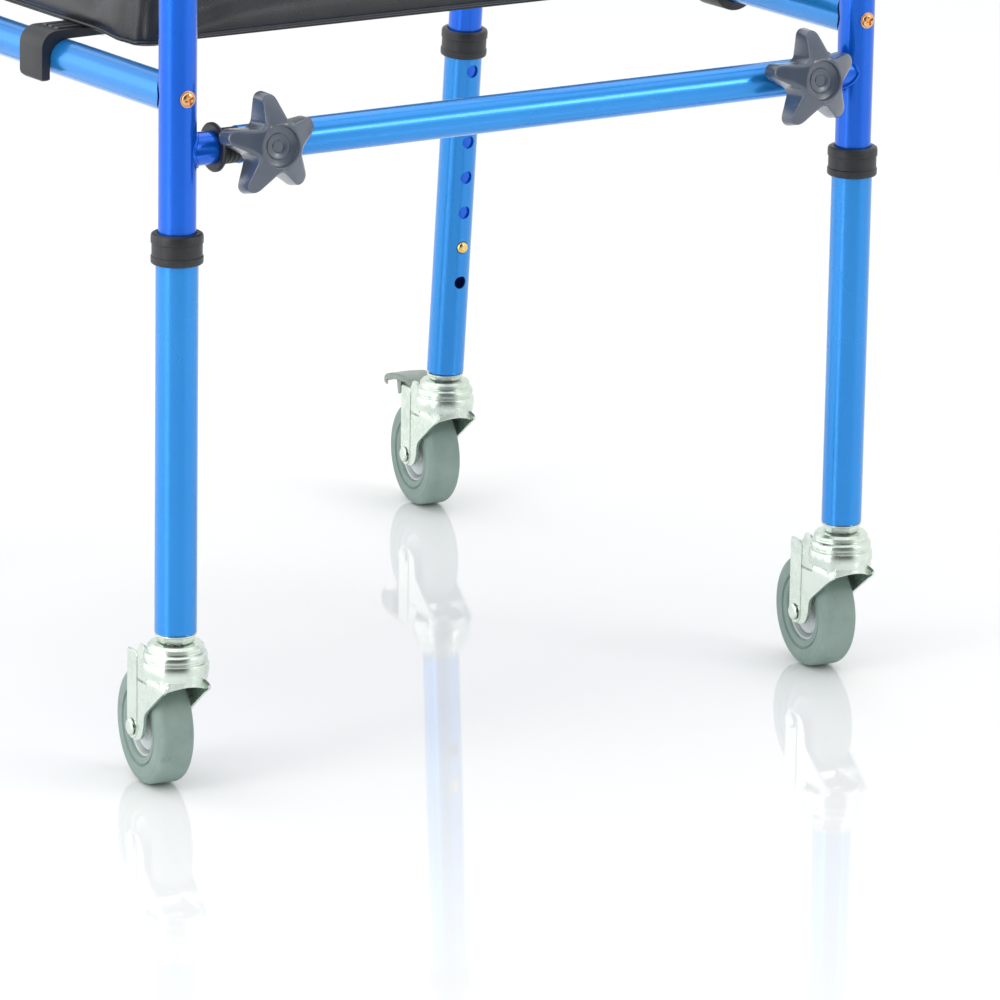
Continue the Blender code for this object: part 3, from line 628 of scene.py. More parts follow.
def makeSideRail(side):
    start = Vector((postX[side], frontY, railHeight))
    end = Vector((postX[side], rearY(railHeight), railHeight))
    local = aimed(start, end)
    length = (end - start).length
    inside = barRadius - rail["wall"]
    rings = []
    for size, along in ((barRadius, 0.0), (barRadius, length), (inside, length), (inside, 0.0)):
        rings.append([local @ point for point in ringPoints(size, along, tubing["count"])])

    def postCutter(at, up, gap):
        half = up * rail["cutHalf"]
        return rodMesh(at - half, at + half, barRadius + gap, 96)

    railEnds = (("Front", start, Vector((0, 0, 1)), 1), ("Rear", end, lean, -1))
    cutters = [postCutter(at, up, rail["saddleGap"]) for _, at, up, _ in railEnds]
    tube = combined(ringMesh(rings, closed=True), cutters, "DIFFERENCE")
    addPart(f"{side}_side_rail", tube, "pale_lacquer", "frame", rounding=0.0002)
    for name, at, up, inward in railEnds:
        along = Vector((0, inward, 0))
        plug = rodMesh(at, at + along * rail["plugLength"], inside - rail["plugGap"], 48)
        lip = rodMesh(at, at + along * (barRadius + rail["saddleGap"]),
                      barRadius - rail["plugUnder"], 48)
        body = combined(plug, [lip], "UNION")
        body = combined(body, [postCutter(at, up, rail["plugGap"])], "DIFFERENCE")
        addPiece(f"{side}{name}RailPlug", body, "charcoal_plastic", "frame")


screw = {"head": 0.0049, "shank": 0.0022, "length": 0.014, "depth": 0.0026, "cross": 0.0016,
         "crossReach": 0.0034, "crossDepth": 0.0018, "washer": (0.0026, 0.0057, 0.0005)}


def makeRailScrew(side, end):
    if end == "front":
        seat = Vector((postX[side], frontY - barRadius + 0.0002, railHeight))
        out = Vector((0, -1, 0))
    else:
        seat = Vector((postX[side], rearY(railHeight) + barRadius - 0.0001, railHeight))
        out = Vector((0, 1, 0))
    top = screw["depth"]
    profile = [(screw["shank"], -screw["length"]), (screw["shank"], 0.0), (screw["head"], 0.0)]
    profile += domePoints(screw["head"], 0.0005, top - 0.0005, 0.6) + [(0.0004, top)]
    reach, half = screw["crossReach"], screw["cross"] / 2
    outline = roundedOutline([(-reach, -half), (reach, -half), (reach, half), (-reach, half)],
                             0.0004, 3)
    bars = []
    for turn in (20, 110):
        bar = platedMesh(outline, top - screw["crossDepth"], top + 0.002, 0.0001, "XY")
        bars.append(placed(bar, Matrix.Rotation(radians(turn), 4, "Z")))
    head = combined(turnedMesh(profile, 40), bars, "DIFFERENCE")
    placed(head, aimed(seat, seat + out))
    addPart(f"{side}_{end}_rail_screw", head, "yellow_zinc", "frame", 28)
    inner, outer, thick = screw["washer"]
    washer = turnedMesh([(inner, 0.0), (outer, 0.0), (outer, thick), (inner, thick)], 40, True)
    placed(washer, aimed(seat - out * 0.0001, seat + out))
    addPiece(f"{side}{end.title()}ScrewWasher", washer, "yellow_zinc", "frame", (), 28)


crossbar = {"wall": 0.0017, "edge": 0.0004, "studHole": 0.0046}


def makeCrossbar(level):
    low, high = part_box(f"{level}_crossbar")
    middle = Vector((0, frontY, barHeight[level]))
    inner, edge = barRadius - crossbar["wall"], crossbar["edge"]
    rings = []
    for size, x in (
        (inner, low[0]), (barRadius - edge, low[0]), (barRadius, low[0] + edge),
        (barRadius, high[0] - edge), (barRadius - edge, high[0]), (inner, high[0]),
    ):
        ring = ringPoints(size, 0, tubing["count"])
        rings.append([middle + Vector((x, point.x, point.y)) for point in ring])
    holes = bmesh.new()
    for side in sides:
        stud = Vector(joints[f"{side}_{level}_knob_turn"]["pos_m"])
        addRod(holes, stud + Vector((0, -0.02, 0)), stud, crossbar["studHole"])
    bar = combined(ringMesh(rings, closed=True), [holes], "DIFFERENCE")
    addPart(f"{level}_crossbar", bar, "pale_lacquer", "frame")


bush = {"flange": 0.0166, "neck": 0.0121, "neckEnd": 0.0190, "spigot": 0.0089, "bore": 0.0079,
        "ribs": 3, "ribStart": 0.0072, "ribPitch": 0.0038, "ribDepth": 0.0005}


def makeBush(side, level):
    name = f"{side}_{level}_crossbar_bush"
    sign = sides[side]
    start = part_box(name)[0 if sign < 0 else 1][0]
    reach = boxSize(name).x
    f, n, end = bush["flange"], bush["neck"], bush["neckEnd"]
    profile = [(bush["bore"], 0.0), (f - 0.0012, 0.0), (f, 0.0010), (f, 0.0024)]
    profile += [(f - 0.0010, 0.0034), (n + 0.0010, 0.0036), (n, 0.0046)]
    for step in range(bush["ribs"]):
        rib = bush["ribStart"] + step * bush["ribPitch"]
        profile += [(n, rib), (n - bush["ribDepth"], rib + 0.0003)]
        profile += [(n - bush["ribDepth"], rib + 0.0012), (n, rib + 0.0015)]
    profile += [(n, end - 0.0003), (n - 0.0003, end), (bush["spigot"], end)]
    profile += [(bush["spigot"], reach), (bush["bore"], reach)]
    base = Vector((start, frontY, barHeight[level]))
    body = placed(turnedMesh(profile, 56, True), aimed(base, base + Vector((-sign, 0, 0))))
    addPart(name, body, "charcoal_plastic", "frame", 28, f"{side}{level.title()}Bush")


knob = {
    "arms": 5,
    "tip": 0.0520,
    "valley": 0.0162,
    "tipRound": 0.0054,
    "valleyRound": 0.0060,
    "rim": 0.0150,
    "recess": 0.0139,
    "recessDepth": 0.0034,
    "front": 0.0396,
    "tipFront": 0.0290,
    "armBack": 0.0174,
    "firstArm": radians(21),
    "spacing": 0.003,
    "stud": 0.0039,
    "edge": 0.0007,
}


def knobOutline():
    corners = []
    half = pi / knob["arms"]
    for arm in range(knob["arms"]):
        a = 2 * pi * arm / knob["arms"]
        corners.append((knob["tip"] * cos(a), knob["tip"] * sin(a)))
        corners.append((knob["valley"] * cos(a + half), knob["valley"] * sin(a + half)))
    radii = [knob["tipRound"], knob["valleyRound"]] * knob["arms"]
    rounded = [Vector(point) for point in roundedOutline(corners, radii, 8)]
    outline = []
    for i, point in enumerate(rounded):
        after = rounded[(i + 1) % len(rounded)]
        outline.append(point)
        extra = int((after - point).length / knob["spacing"])
        outline += [point.lerp(after, k / extra) for k in range(1, extra)]
    return outline


def knobPlace(side, level):
    # Z out of the knob's face, X to the right and Y up seen from the front
    joint = joints[f"{side}_{level}_knob_turn"]
    out = Vector(joint["axis"]).normalized()
    right = Vector((1, 0, 0))
    local = framed(right, out.cross(right), out, joint["pos_m"])
    return local @ Matrix.Rotation(knob["firstArm"], 4, "Z")


def makeKnob(side, level):
    name = f"{side}_{level}_star_knob"
    local = knobPlace(side, level)
    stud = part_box(name)[1][1] - local.translation.y - 0.0012
    outline = knobOutline()
    front, back, rim, edge = knob["front"], knob["armBack"], knob["rim"], knob["edge"]
    reach = max(point.length for point in outline)

    def faceHeight(radius):
        share = min(max((radius - rim) / (reach - rim), 0.0), 1.0)
        return front - (front - knob["tipFront"]) * share ** 0.92

    def circleRing(radius, height):
        return [Vector((*(point.normalized() * radius), height)) for point in outline]

    def starRing(inset, drop):
        ring = []
        for point in outline:
            spot = point - point.normalized() * inset
            ring.append(Vector((*spot, faceHeight(spot.length) - drop)))
        return ring

    def blendRing(share):
        ring = []
        for point in outline:
            radius = rim + (point.length - edge * 1.6 - rim) * share
            crown = 0.0007 * sin(pi * share)
            ring.append(Vector((*(point.normalized() * radius), faceHeight(radius) + crown)))
        return ring

    def backRing(scale, height):
        return [Vector((*(point * scale), height)) for point in outline]

    well = knob["recess"]
    floor = front - knob["recessDepth"]
    rings = [circleRing(radius, floor + lift) for radius, lift in (
        (0.0004, -0.0008), (0.0038, -0.0008), (0.0043, -0.0012), (0.0050, -0.0008),
        (0.0084, -0.0005), (0.0089, -0.0009), (0.0096, -0.0004), (well - 0.0012, 0),
        (well - 0.0004, 0.0004), (well, 0.0012))]
    rings += [circleRing(well + 0.0001, front - 0.0003), circleRing(well + 0.0004, front)]
    rings += [circleRing(rim - 0.0004, front + 0.0001)]
    rings += [blendRing(share) for share in (0.0, 0.12, 0.26, 0.42, 0.58, 0.74, 0.88, 1.0)]
    rings += [starRing(edge, edge * 0.25), starRing(edge * 0.3, edge * 0.8)]
    rings += [starRing(0, edge * 1.8)]
    rings += [backRing(1.035, back + 0.0016), backRing(1.03, back + 0.0006), backRing(0.985, back)]
    boss = barRadius + 0.0004
    rings += [circleRing(*spot) for spot in (
        (0.0142, back), (0.0138, boss + 0.0004), (0.0134, boss), (knob["stud"], boss),
        (knob["stud"], -stud))]
    addPart(name, placed(ringMesh(rings), local), "knob_plastic", f"{side}_{level}_knob", 36)


leg = {"pitch": 0.028, "holes": 7, "buttonHole": 1, "holeRadius": 0.0050, "wall": 0.0012}


def makeLeg(side, end):
    name = f"{side}_{end}"
    local, length = legPlace(side, end)
    button = local.inverted() @ boxCentre(f"{name}_snap_button")
    lowest = button.z - leg["buttonHole"] * leg["pitch"]
    inner = legRadius - leg["wall"]
    tube = turnedMesh([
        (inner, 0.0), (legRadius - 0.0006, 0.0), (legRadius, 0.0006),
        (legRadius, length - 0.0004), (legRadius - 0.0004, length), (inner, length),
    ], tubing["count"], True)
    holes = bmesh.new()
    for number in range(leg["holes"]):
        z = lowest + number * leg["pitch"]
        addRod(holes, (0, 0, z), (0, -0.02, z), leg["holeRadius"])
    tube = placed(combined(tube, [holes], "DIFFERENCE"), local)
    addPart(f"{name}_lower_leg", tube, "pale_lacquer", f"{name}_leg")
    makeCollar(name, local, length, f"{side}{end.title()}Collar")
    makeButton(name, local, button.z)


collar = {"outer": 0.0176, "below": 0.0160, "above": 0.0050, "band": 0.0006}


def makeCollar(name, local, length, pieceName):
    outer = collar["outer"]
    waist = outer - collar["band"]
    low = length - collar["below"]
    high = length + collar["above"]
    inner = legRadius + 0.0003
    lip = barRadius + 0.0004
    ring = turnedMesh([
        (inner, low), (outer - 0.0012, low), (outer - 0.0003, low + 0.0007), (outer, low + 0.0018),
        (outer, low + 0.0052), (waist, low + 0.0056), (waist, high - 0.0070),
        (outer, high - 0.0066), (outer, high - 0.0022), (outer - 0.0005, high - 0.0008),
        (outer - 0.0018, high), (lip + 0.0006, high), (lip, high - 0.0006),
        (lip, length + 0.0004), (inner, length + 0.0004),
    ], 64, True)
    addPart(f"{name}_leg_collar", placed(ring, local), "charcoal_plastic", f"{name}_leg", 30,
            pieceName)


def makeButton(name, local, height):
    radius = leg["holeRadius"] - 0.0004
    proud = legRadius + 0.0021
    shoulder = legRadius - 0.0006
    profile = [(0.0005, 0.0088), (radius, 0.0088), (radius, shoulder)]
    profile += domePoints(radius, shoulder, proud - legRadius + 0.0006, 0.7) + [(0.0004, proud)]
    start = Vector((0, 0, height))
    body = placed(turnedMesh(profile, 36), local @ aimed(start, start + Vector((0, -1, 0))))
    addPart(f"{name}_snap_button", body, "brass", f"{name}_button", 28)


castor = {
    "wheelRadius": 0.0403,
    "tyreHalf": 0.0130,
    "tyreShoulder": 0.0042,
    "hubRadius": 0.0212,
    "hubDisc": 0.0172,
    "groove": 0.0197,
    "crown": 0.0840,
    "crownBack": 0.0215,
    "headTop": 0.1075,
    "head": 0.0227,
    "hood": 0.0222,
    "hoodWall": 0.0018,
    "hoodDrop": (0.0050, 0.0052),
    "cheekHalf": 0.0172,
    "plate": 0.0020,
    "crownBend": 0.0085,
    "earTop": 0.0950,
    "earBack": 0.0420,
    "stripFront": 0.0255,
    "stripStand": 0.0005,
    "nutAcross": 0.0225,
    "axleTip": 0.0199,
}


def makeStem(name, local):
    nutLow = castor["headTop"] + 0.0006
    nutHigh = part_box(f"{name}_lower_leg")[0][2] - 0.0002
    half = castor["nutAcross"] / 2
    rings = []
    for height, chamfered in (
        (nutLow, True), (nutLow + 0.0006, False), (nutHigh - 0.0007, False), (nutHigh, True),
    ):
        ring = []
        for i in range(48):
            a = 2 * pi * i / 48
            radius = half / cos((a + pi / 6) % (pi / 3) - pi / 6)
            if chamfered:
                radius = min(radius, half * 1.04)
            ring.append(Vector((radius * cos(a), radius * sin(a), height)))
        rings.append(ring)
    flange = turnedMesh([(radius, nutHigh + lift) for radius, lift in (
        (0.0042, -0.0016), (0.0137, -0.0016), (0.0142, -0.0012), (0.0142, -0.0004), (0.0137, 0),
        (0.0110, 0.0002), (0.0110, 0.0115), (0.0100, 0.0120), (0.0042, 0.0120))], 48, True)
    foot = [(radius, castor["crown"] - drop) for radius, drop in (
        (0.0010, 0.0030), (0.0060, 0.0029), (0.0078, 0.0016), (0.0078, 0.0004), (0.0047, 0.0004))]
    pin = turnedMesh(foot + [(0.0047, nutLow + 0.001), (0.0010, nutLow + 0.001)], 40)
    body = joined(ringMesh(rings), flange, pin)
    addPart(f"{name}_castor_stem", placed(body, local), "bright_zinc", f"{name}_leg", 28)


def edgeAt(edge, height):
    # where an edge is at a height
    return float(np.interp(height, [p[0] for p in edge], [p[1] for p in edge]))


# the cheeks' rear and front edges: height, and distance behind the swivel axis
cheekRear = (
    (0.0330, 0.0284), (0.0336, 0.0330), (0.0355, 0.0368), (0.0385, 0.0395), (0.0430, 0.0415),
    (0.0470, 0.0420), (0.0950, 0.0420),
)


cheekFront = (
    (0.0330, 0.0280), (0.0336, 0.0240), (0.0355, 0.0200), (0.0385, 0.0170), (0.0430, 0.0150),
    (0.0470, 0.0140), (0.0510, 0.0138), (0.0540, 0.0130), (0.0580, 0.0085), (0.0620, 0.0030),
    (0.0660, -0.0025), (0.0700, -0.0080), (0.0740, -0.0135), (0.0765, -0.0180),
    (0.0785, -0.0205), (0.0805, -0.0212), (0.0830, -0.0203), (0.0848, -0.0185), (0.0860, -0.0165),
)


def forkShell():
    # one bent sheet over the wheel: near cheek, crown and far cheek
    c = castor
    half, bend = c["cheekHalf"], c["crownBend"]
    top = c["crown"] + c["plate"]
    steps, rows = 26, 22
    section = []
    low = cheekFront[0][0]
    for k in range(rows):
        section.append((-half, low + (top - bend - low) * (k / rows) ** 1.35))
    section += arcPoints((-half + bend, top - bend), bend, pi, pi / 2, 8)
    section += [(-half + bend + (half - bend) * k / 3, top) for k in range(1, 4)]
    section += [(-x, z) for x, z in reversed(section[:-1])]
    bm = bmesh.new()
    made = []
    for x, z in section:
        front = edgeAt(cheekFront, z)
        back = edgeAt(cheekRear, z) if z < top - bend else c["crownBack"]
        if top - bend <= z < top - bend * 0.35:
            share = (z - top + bend) / (bend * 0.65)
            back = c["earBack"] + (c["crownBack"] - c["earBack"]) * share ** 0.5
        row = [Vector((x, front + (back - front) * i / steps, z)) for i in range(steps + 1)]
        made.append([bm.verts.new(point) for point in row])
    for low, high in zip(made, made[1:]):
        for i in range(steps):
            bm.faces.new((low[i], low[i + 1], high[i + 1], high[i]))
    bmesh.ops.recalc_face_normals(bm, faces=bm.faces[:])
    shell = rawObject("shell", bm)
    thick = shell.modifiers.new("sheet", "SOLIDIFY")
    thick.thickness = c["plate"]
    thick.offset = -1
    return takenMesh(shell)


def hoodLip():
    # the crown's rounded front edge, turned down into an arch over the wheel
    c = castor
    top = c["crown"] + c["plate"]
    middleDrop, sideDrop = c["hoodDrop"]
    widest = c["cheekHalf"] - 0.0003
    outer = c["hood"]
    inner = outer - c["hoodWall"]
    steps = 28
    rings = []
    for i in range(steps + 1):
        x = -widest * cos(pi * i / steps)
        low = top - middleDrop - sideDrop * (x / widest) ** 2
        rings.append([Vector((x, -sqrt(radius ** 2 - x ** 2), height)) for radius, height in (
            (outer - 0.0004, low), (outer, low + 0.0006), (outer, top - 0.0014),
            (outer - 0.0014, top), (inner - 0.0014, top), (inner, top - c["plate"]),
            (inner, low))])
    return ringMesh(rings)


def strut(side, axleHeight):
    # the pressed strip that stands over the axle and rises to an ear, and the plate beside the head
    c = castor
    half, ear, back = c["cheekHalf"], c["earTop"], c["earBack"] - 0.0004
    low = c["stripFront"]
    centre = (low + back) / 2
    outline = [(low, axleHeight), (low, ear - 0.0024), (low + 0.0024, ear), (back - 0.0010, ear)]
    outline += [(back, ear - 0.0010), (back, axleHeight)]
    outline += arcPoints((centre, axleHeight), (back - low) / 2, 0, -pi, 16)[1:-1]
    strip = platedMesh(outline, half - 0.0004, half + c["stripStand"], 0.0005)
    wing = roundedOutline(
        [(0.0090, 0.0760), (0.0120, 0.0990), (0.0150, 0.1025), (0.0215, 0.1025), (0.0265, 0.0945),
         (back, 0.0945), (back, 0.0740)], 0.0012, 4)
    both = joined(strip, platedMesh(wing, half - c["plate"], half, 0.0003))
    if side < 0:
        placed(both, Matrix.Scale(-1, 4, (1, 0, 0)))
        bmesh.ops.reverse_faces(both, faces=both.faces[:])
    return both


def makeFork(name, local, axleHeight):
    c = castor
    base = c["crown"] + 0.0002
    rise = c["headTop"] - base
    steps = ((0.972, 0.0), (0.978, 0.10), (0.995, 0.16), (1.0, 0.22), (1.0, 0.38), (0.975, 0.45),
             (0.925, 0.48), (0.920, 0.52), (0.950, 0.55), (0.950, 0.68), (0.91, 0.74),
             (0.84, 0.77), (0.83, 0.80), (0.855, 0.83), (0.845, 0.92), (0.77, 1.0))
    profile = [(0.0056, base)] + [(c["head"] * a, base + rise * b) for a, b in steps]
    profile += [(0.0080, c["headTop"]), (0.0056, c["headTop"] - 0.0006)]
    head = turnedMesh(profile, 64, True)
    body = joined(forkShell(), hoodLip(), head, strut(-1, axleHeight), strut(1, axleHeight))
    addPart(f"{name}_castor_fork", placed(body, local), "bright_zinc", f"{name}_fork", 34)


def makeAxle(name, onAxle):
    face = castor["cheekHalf"] + 0.0011
    tip = castor["axleTip"]
    bolt = turnedMesh([
        (0.0008, -tip), (0.0048, -tip), (0.0058, -tip + 0.0007), (0.0060, -face - 0.0001),
        (0.0039, -face), (0.0039, face), (0.0060, face + 0.0001), (0.0058, tip - 0.0007),
        (0.0048, tip), (0.0008, tip)], 36)
    addPart(f"{name}_castor_axle", placed(bolt, onAxle), "bright_zinc", f"{name}_fork", 28)


def mirroredMesh(half, count):
    # a turned ring whose lower half mirrors its upper half
    return turnedMesh(half + [(a, -b) for a, b in reversed(half)], count, True)


def makeWheel(name, onAxle):
    c = castor
    r, h, seat = c["wheelRadius"], c["tyreHalf"], c["hubRadius"] + 0.0002
    shoulder = c["tyreShoulder"]
    tread = (r - shoulder, h - 0.0006)
    half = [(seat, h * 0.80), (seat + 0.0006, h * 0.90), (seat + 0.0018, h * 0.94)]
    half += [(0.0262, h * 0.955), (0.0268, h * 0.88), (0.0276, h * 0.88), (0.0282, h)]
    half += [(tread[0] - 0.0010, h), tread]
    half += arcPoints((tread[0], tread[1] - shoulder), shoulder, pi / 2 - 0.25, 0, 7)[1:]
    half += [(r + 0.0001, h * 0.30), (r + 0.0002, 0.0004)]
    tyre = placed(mirroredMesh(half, 72), onAxle)
    addPart(f"{name}_castor_tyre", tyre, "grey_rubber", f"{name}_wheel", 26)
    rim, disc, groove = c["hubRadius"], c["hubDisc"], c["groove"]
    face = [(0.0045, 0.0142), (0.0084, 0.0142), (0.0092, 0.0134), (0.0095, 0.0088)]
    face += [(0.0104, 0.0078), (disc - 0.0008, 0.0076), (disc, 0.0068), (disc + 0.0003, 0.0022)]
    face += [(groove - 0.0002, 0.0022), (groove, 0.0092), (groove + 0.0004, 0.0098), (rim, 0.0098)]
    hub = placed(mirroredMesh(face, 64), onAxle)
    addPart(f"{name}_castor_hub", hub, "white_plastic", f"{name}_wheel", 30)


pedal = {
    "line": ((-0.0040, 0.0010), (0.0040, 0.0024), (0.0120, 0.0034), (0.0240, 0.0030),
             (0.0360, 0.0012), (0.0460, -0.0018), (0.0540, -0.0052), (0.0580, -0.0090)),
    "widths": (0.0120, 0.0120, 0.0124, 0.0140, 0.0148, 0.0140, 0.0110, 0.0070),
    "edgeDepth": 0.0034,
}


def makePedal(name, local):
    pivot = local.inverted() @ Vector(joints[f"{name}_pedal_press"]["pos_m"])
    local = local @ Matrix.Translation((0, pivot.y, pivot.z))
    deep = pedal["edgeDepth"]
    rings = []
    for (y, z), wide in zip(pedal["line"], pedal["widths"]):
        outline = [(-wide, -deep), (-wide, 0.0), (-wide + 0.0012, 0.0012), (0.0, 0.0016)]
        outline += [(wide - 0.0012, 0.0012), (wide, 0.0), (wide, -deep), (wide - 0.0014, -deep)]
        outline += [(wide - 0.0014, -0.0006), (0.0, -0.0003), (-wide + 0.0014, -0.0006)]
        outline += [(-wide + 0.0014, -deep)]
        rings.append([Vector((x, y, z + lift)) for x, lift in outline])
    pin = rodMesh((-0.0128, 0, -0.0002), (0.0128, 0, -0.0002), 0.0022, 24)
    tab = platedMesh(roundedOutline(
        [(0.0380, 0.0000), (0.0380, -0.0150), (0.0430, -0.0175), (0.0460, -0.0030)], 0.0010, 4),
        -0.0040, 0.0040, 0.0004)
    body = placed(joined(ringMesh(rings), pin, tab), local)
    # the pedal takes the darker copy of the zinc, a painted shade
    addPart(f"{name}_brake_pedal", body, "shade_painted_zinc", f"{name}_pedal", 30)


def makeCastor(side, end):
    name = f"{side}_{end}"
    local, trail, axleHeight = castorPlace(side, end)
    turn = Matrix.Rotation(radians(90), 4, "Y")
    onAxle = local @ Matrix.Translation((0, trail, axleHeight)) @ turn
    makeStem(name, local)
    makeFork(name, local, axleHeight)
    makeAxle(name, onAxle)
    makeWheel(name, onAxle)
    if end == "rear":
        makePedal(name, local)


grip = {"ribs": 11, "ribHeight": 0.0006, "bore": 0.0131, "band": 0.0066, "groove": 0.0012}


def makeGrip(side):
    name = f"{side}_handgrip"
    low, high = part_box(name)
    outer = boxSize(name).x / 2
    length = high[1] - low[1]
    waist = outer - grip["groove"]
    profile = [(grip["bore"], 0.0), (outer - 0.0014, 0.0), (outer, 0.0010), (outer, 0.0052)]
    profile += [(waist, grip["band"])]
    pitch = (length - 2 * grip["band"]) / grip["ribs"]
    for rib in range(grip["ribs"]):
        for step in range(1, 9):
            lift = grip["ribHeight"] * (1 - cos(2 * pi * step / 8)) / 2
            profile.append((waist + lift, grip["band"] + pitch * (rib + step / 8)))
    profile += [(outer, length - 0.0052), (outer, length - 0.0010), (outer - 0.0014, length)]
    profile += [(grip["bore"], length)]
    start = Vector((boxCentre(name).x, low[1], topHeight))
    mesh = placed(turnedMesh(profile, 56, True), aimed(start, start + Vector((0, 1, 0))))
    addPart(name, mesh, "grip_foam", "frame", 40)


seat = {
    "corner": 0.026,
    "startInset": 0.0035,
    "voxel": 0.0050,
    "pressure": 4.0,
    "maxMove": 0.008,
    "frames": 20,
    "skirt": 0.0030,
    "piping": 0.0015,
    "pleats": 7,
    "pleatDepth": 0.0016,
    "cornerBulge": 0.0034,
    "cornerSag": 0.0050,
    "cornerReach": 0.060,
    "pipingStep": 0.006,
    "boardInset": 0.0075,
    "topClear": 0.0004,
}


def rectangleOutline(low, high, radius, steps=10):
    corners = [(low[0], low[1]), (high[0], low[1]), (high[0], high[1]), (low[0], high[1])]
    return roundedOutline(corners, radius, steps)


def padForm(low, high):
    inset = seat["startInset"]
    rings = []
    tall = high[2] - low[2]
    shape = ((0.0060, 0.0), (0.0015, 0.06), (0.0, 0.16), (0.0, 0.55), (0.004, 0.78), (0.014, 0.93),
             (0.030, 0.985))
    for pull, share in shape:
        lowXY = (low[0] + inset + pull, low[1] + inset + pull)
        highXY = (high[0] - inset - pull, high[1] - inset - pull)
        outline = rectangleOutline(lowXY, highXY, max(seat["corner"] - pull, 0.008))
        rings.append([Vector((x, y, low[2] + tall * share)) for x, y in outline])
    return ringMesh(rings)


def swell(piece):
    # the stuffing pushes the cover out, and its lower edge stays on the board
    start = np.array([vertex.co[:] for vertex in piece.data.vertices])
    held = piece.vertex_groups.new(name="held")
    base = start[:, 2].min()
    held.add([i for i, point in enumerate(start) if point[2] < base + 0.006], 1.0, "REPLACE")
    cloth = piece.modifiers.new("stuffing", "CLOTH")
    settings = cloth.settings
    settings.use_pressure = True
    settings.uniform_pressure_force = seat["pressure"]
    settings.effector_weights.gravity = 0.0
    settings.vertex_group_mass = "held"
    settings.mass = 0.3
    settings.tension_stiffness = 25
    settings.compression_stiffness = 25
    settings.bending_stiffness = 2.0
    for number in range(1, seat["frames"] + 1):
        scene.frame_set(number)
    settle(piece)
    scene.frame_set(1)
    end = np.array([vertex.co[:] for vertex in piece.data.vertices])
    move = end - start
    size = np.linalg.norm(move, axis=1, keepdims=True)
    capped = start + move * np.minimum(1.0, seat["maxMove"] / np.maximum(size, 1e-9))
    for vertex, point in zip(piece.data.vertices, capped):
        vertex.co = point


def levelTop(piece, low, high):
    # the stuffed cover stands no taller than the cushion it covers
    tallest = max(vertex.co.z for vertex in piece.data.vertices)
    share = (high[2] - seat["topClear"] - low[2]) / (tallest - low[2])
    for vertex in piece.data.vertices:
        vertex.co.z = low[2] + (vertex.co.z - low[2]) * min(share, 1.0)


def cornerShare(x, y, low, high):
    # how near a point is to a corner of the seat, from 0 to 1, and which way the corner faces
    reach = seat["cornerReach"]
    dx = min(x - low[0], high[0] - x)
    dy = min(y - low[1], high[1] - y)
    near = max(0.0, 1 - max(dx, 0) / reach) * max(0.0, 1 - max(dy, 0) / reach)
    middle = Vector(((low[0] + high[0]) / 2, (low[1] + high[1]) / 2))
    away = Vector((1 if x > middle.x else -1, 1 if y > middle.y else -1)).normalized()
    return near * near * (3 - 2 * near), away


def pleatCorners(piece, low, high):
    # each corner bulges and sags, gathered in folds that are deepest at the lower edge
    r = seat["corner"]
    for vertex in piece.data.vertices:
        point = vertex.co.copy()
        up = (point.z - low[2]) / (high[2] - low[2])
        share, away = cornerShare(point.x, point.y, low, high)
        lower = max(0.0, 1 - up) ** 0.7
        bulge = seat["cornerBulge"] * share * max(0.0, sin(pi * min(up + 0.25, 1.0)))
        vertex.co += Vector((away.x, away.y, 0)) * bulge
        vertex.co.z -= seat["cornerSag"] * share * lower
        cx = min(max(point.x, low[0] + r), high[0] - r)
        cy = min(max(point.y, low[1] + r), high[1] - r)
        dx, dy = point.x - cx, point.y - cy
        reach = sqrt(dx * dx + dy * dy)
        if dx == 0 or dy == 0 or reach < r * 0.6:
            continue
        angle = atan2(abs(dy), abs(dx)) / (pi / 2)
        fade = min(min(angle, 1 - angle) * 4, 1.0) * max(0.0, 1 - up / 0.75)
        wave = sin(angle * pi * seat["pleats"] + 1.3 * sin(angle * 9))
        depth = seat["pleatDepth"] * fade * (wave - 0.6)
        vertex.co += Vector((dx, dy, 0)).normalized() * depth


def insetOutline(low, high, inset, steps):
    # the seat's outline, drawn in by the inset
    return rectangleOutline((low[0] + inset, low[1] + inset), (high[0] - inset, high[1] - inset),
                            seat["corner"] - inset, steps)


def makePiping(pad, low, high):
    # the piped seam lies on the cover, round its lower edge
    bpy.context.view_layer.update()
    surface = BVHTree.FromObject(pad, bpy.context.evaluated_depsgraph_get())
    outline = insetOutline(low, high, seat["startInset"] + 0.0003, 14)
    outline = [Vector(spot) for spot in outline]
    path = []
    for i, spot in enumerate(outline):
        after = outline[(i + 1) % len(outline)]
        pieces = max(1, int((after - spot).length / seat["pipingStep"]))
        for k in range(pieces):
            x, y = spot.lerp(after, k / pieces)
            share, away = cornerShare(x, y, low, high)
            out = seat["cornerBulge"] * share * 0.7
            height = low.z + 0.0030 - seat["cornerSag"] * share
            near = Vector((x + away.x * out, y + away.y * out, height))
            path.append(surface.find_nearest(near)[0])
    addPiece("seatPiping", sweptMesh(path, seat["piping"], 14, True), "black_vinyl", "seat", (), 60)


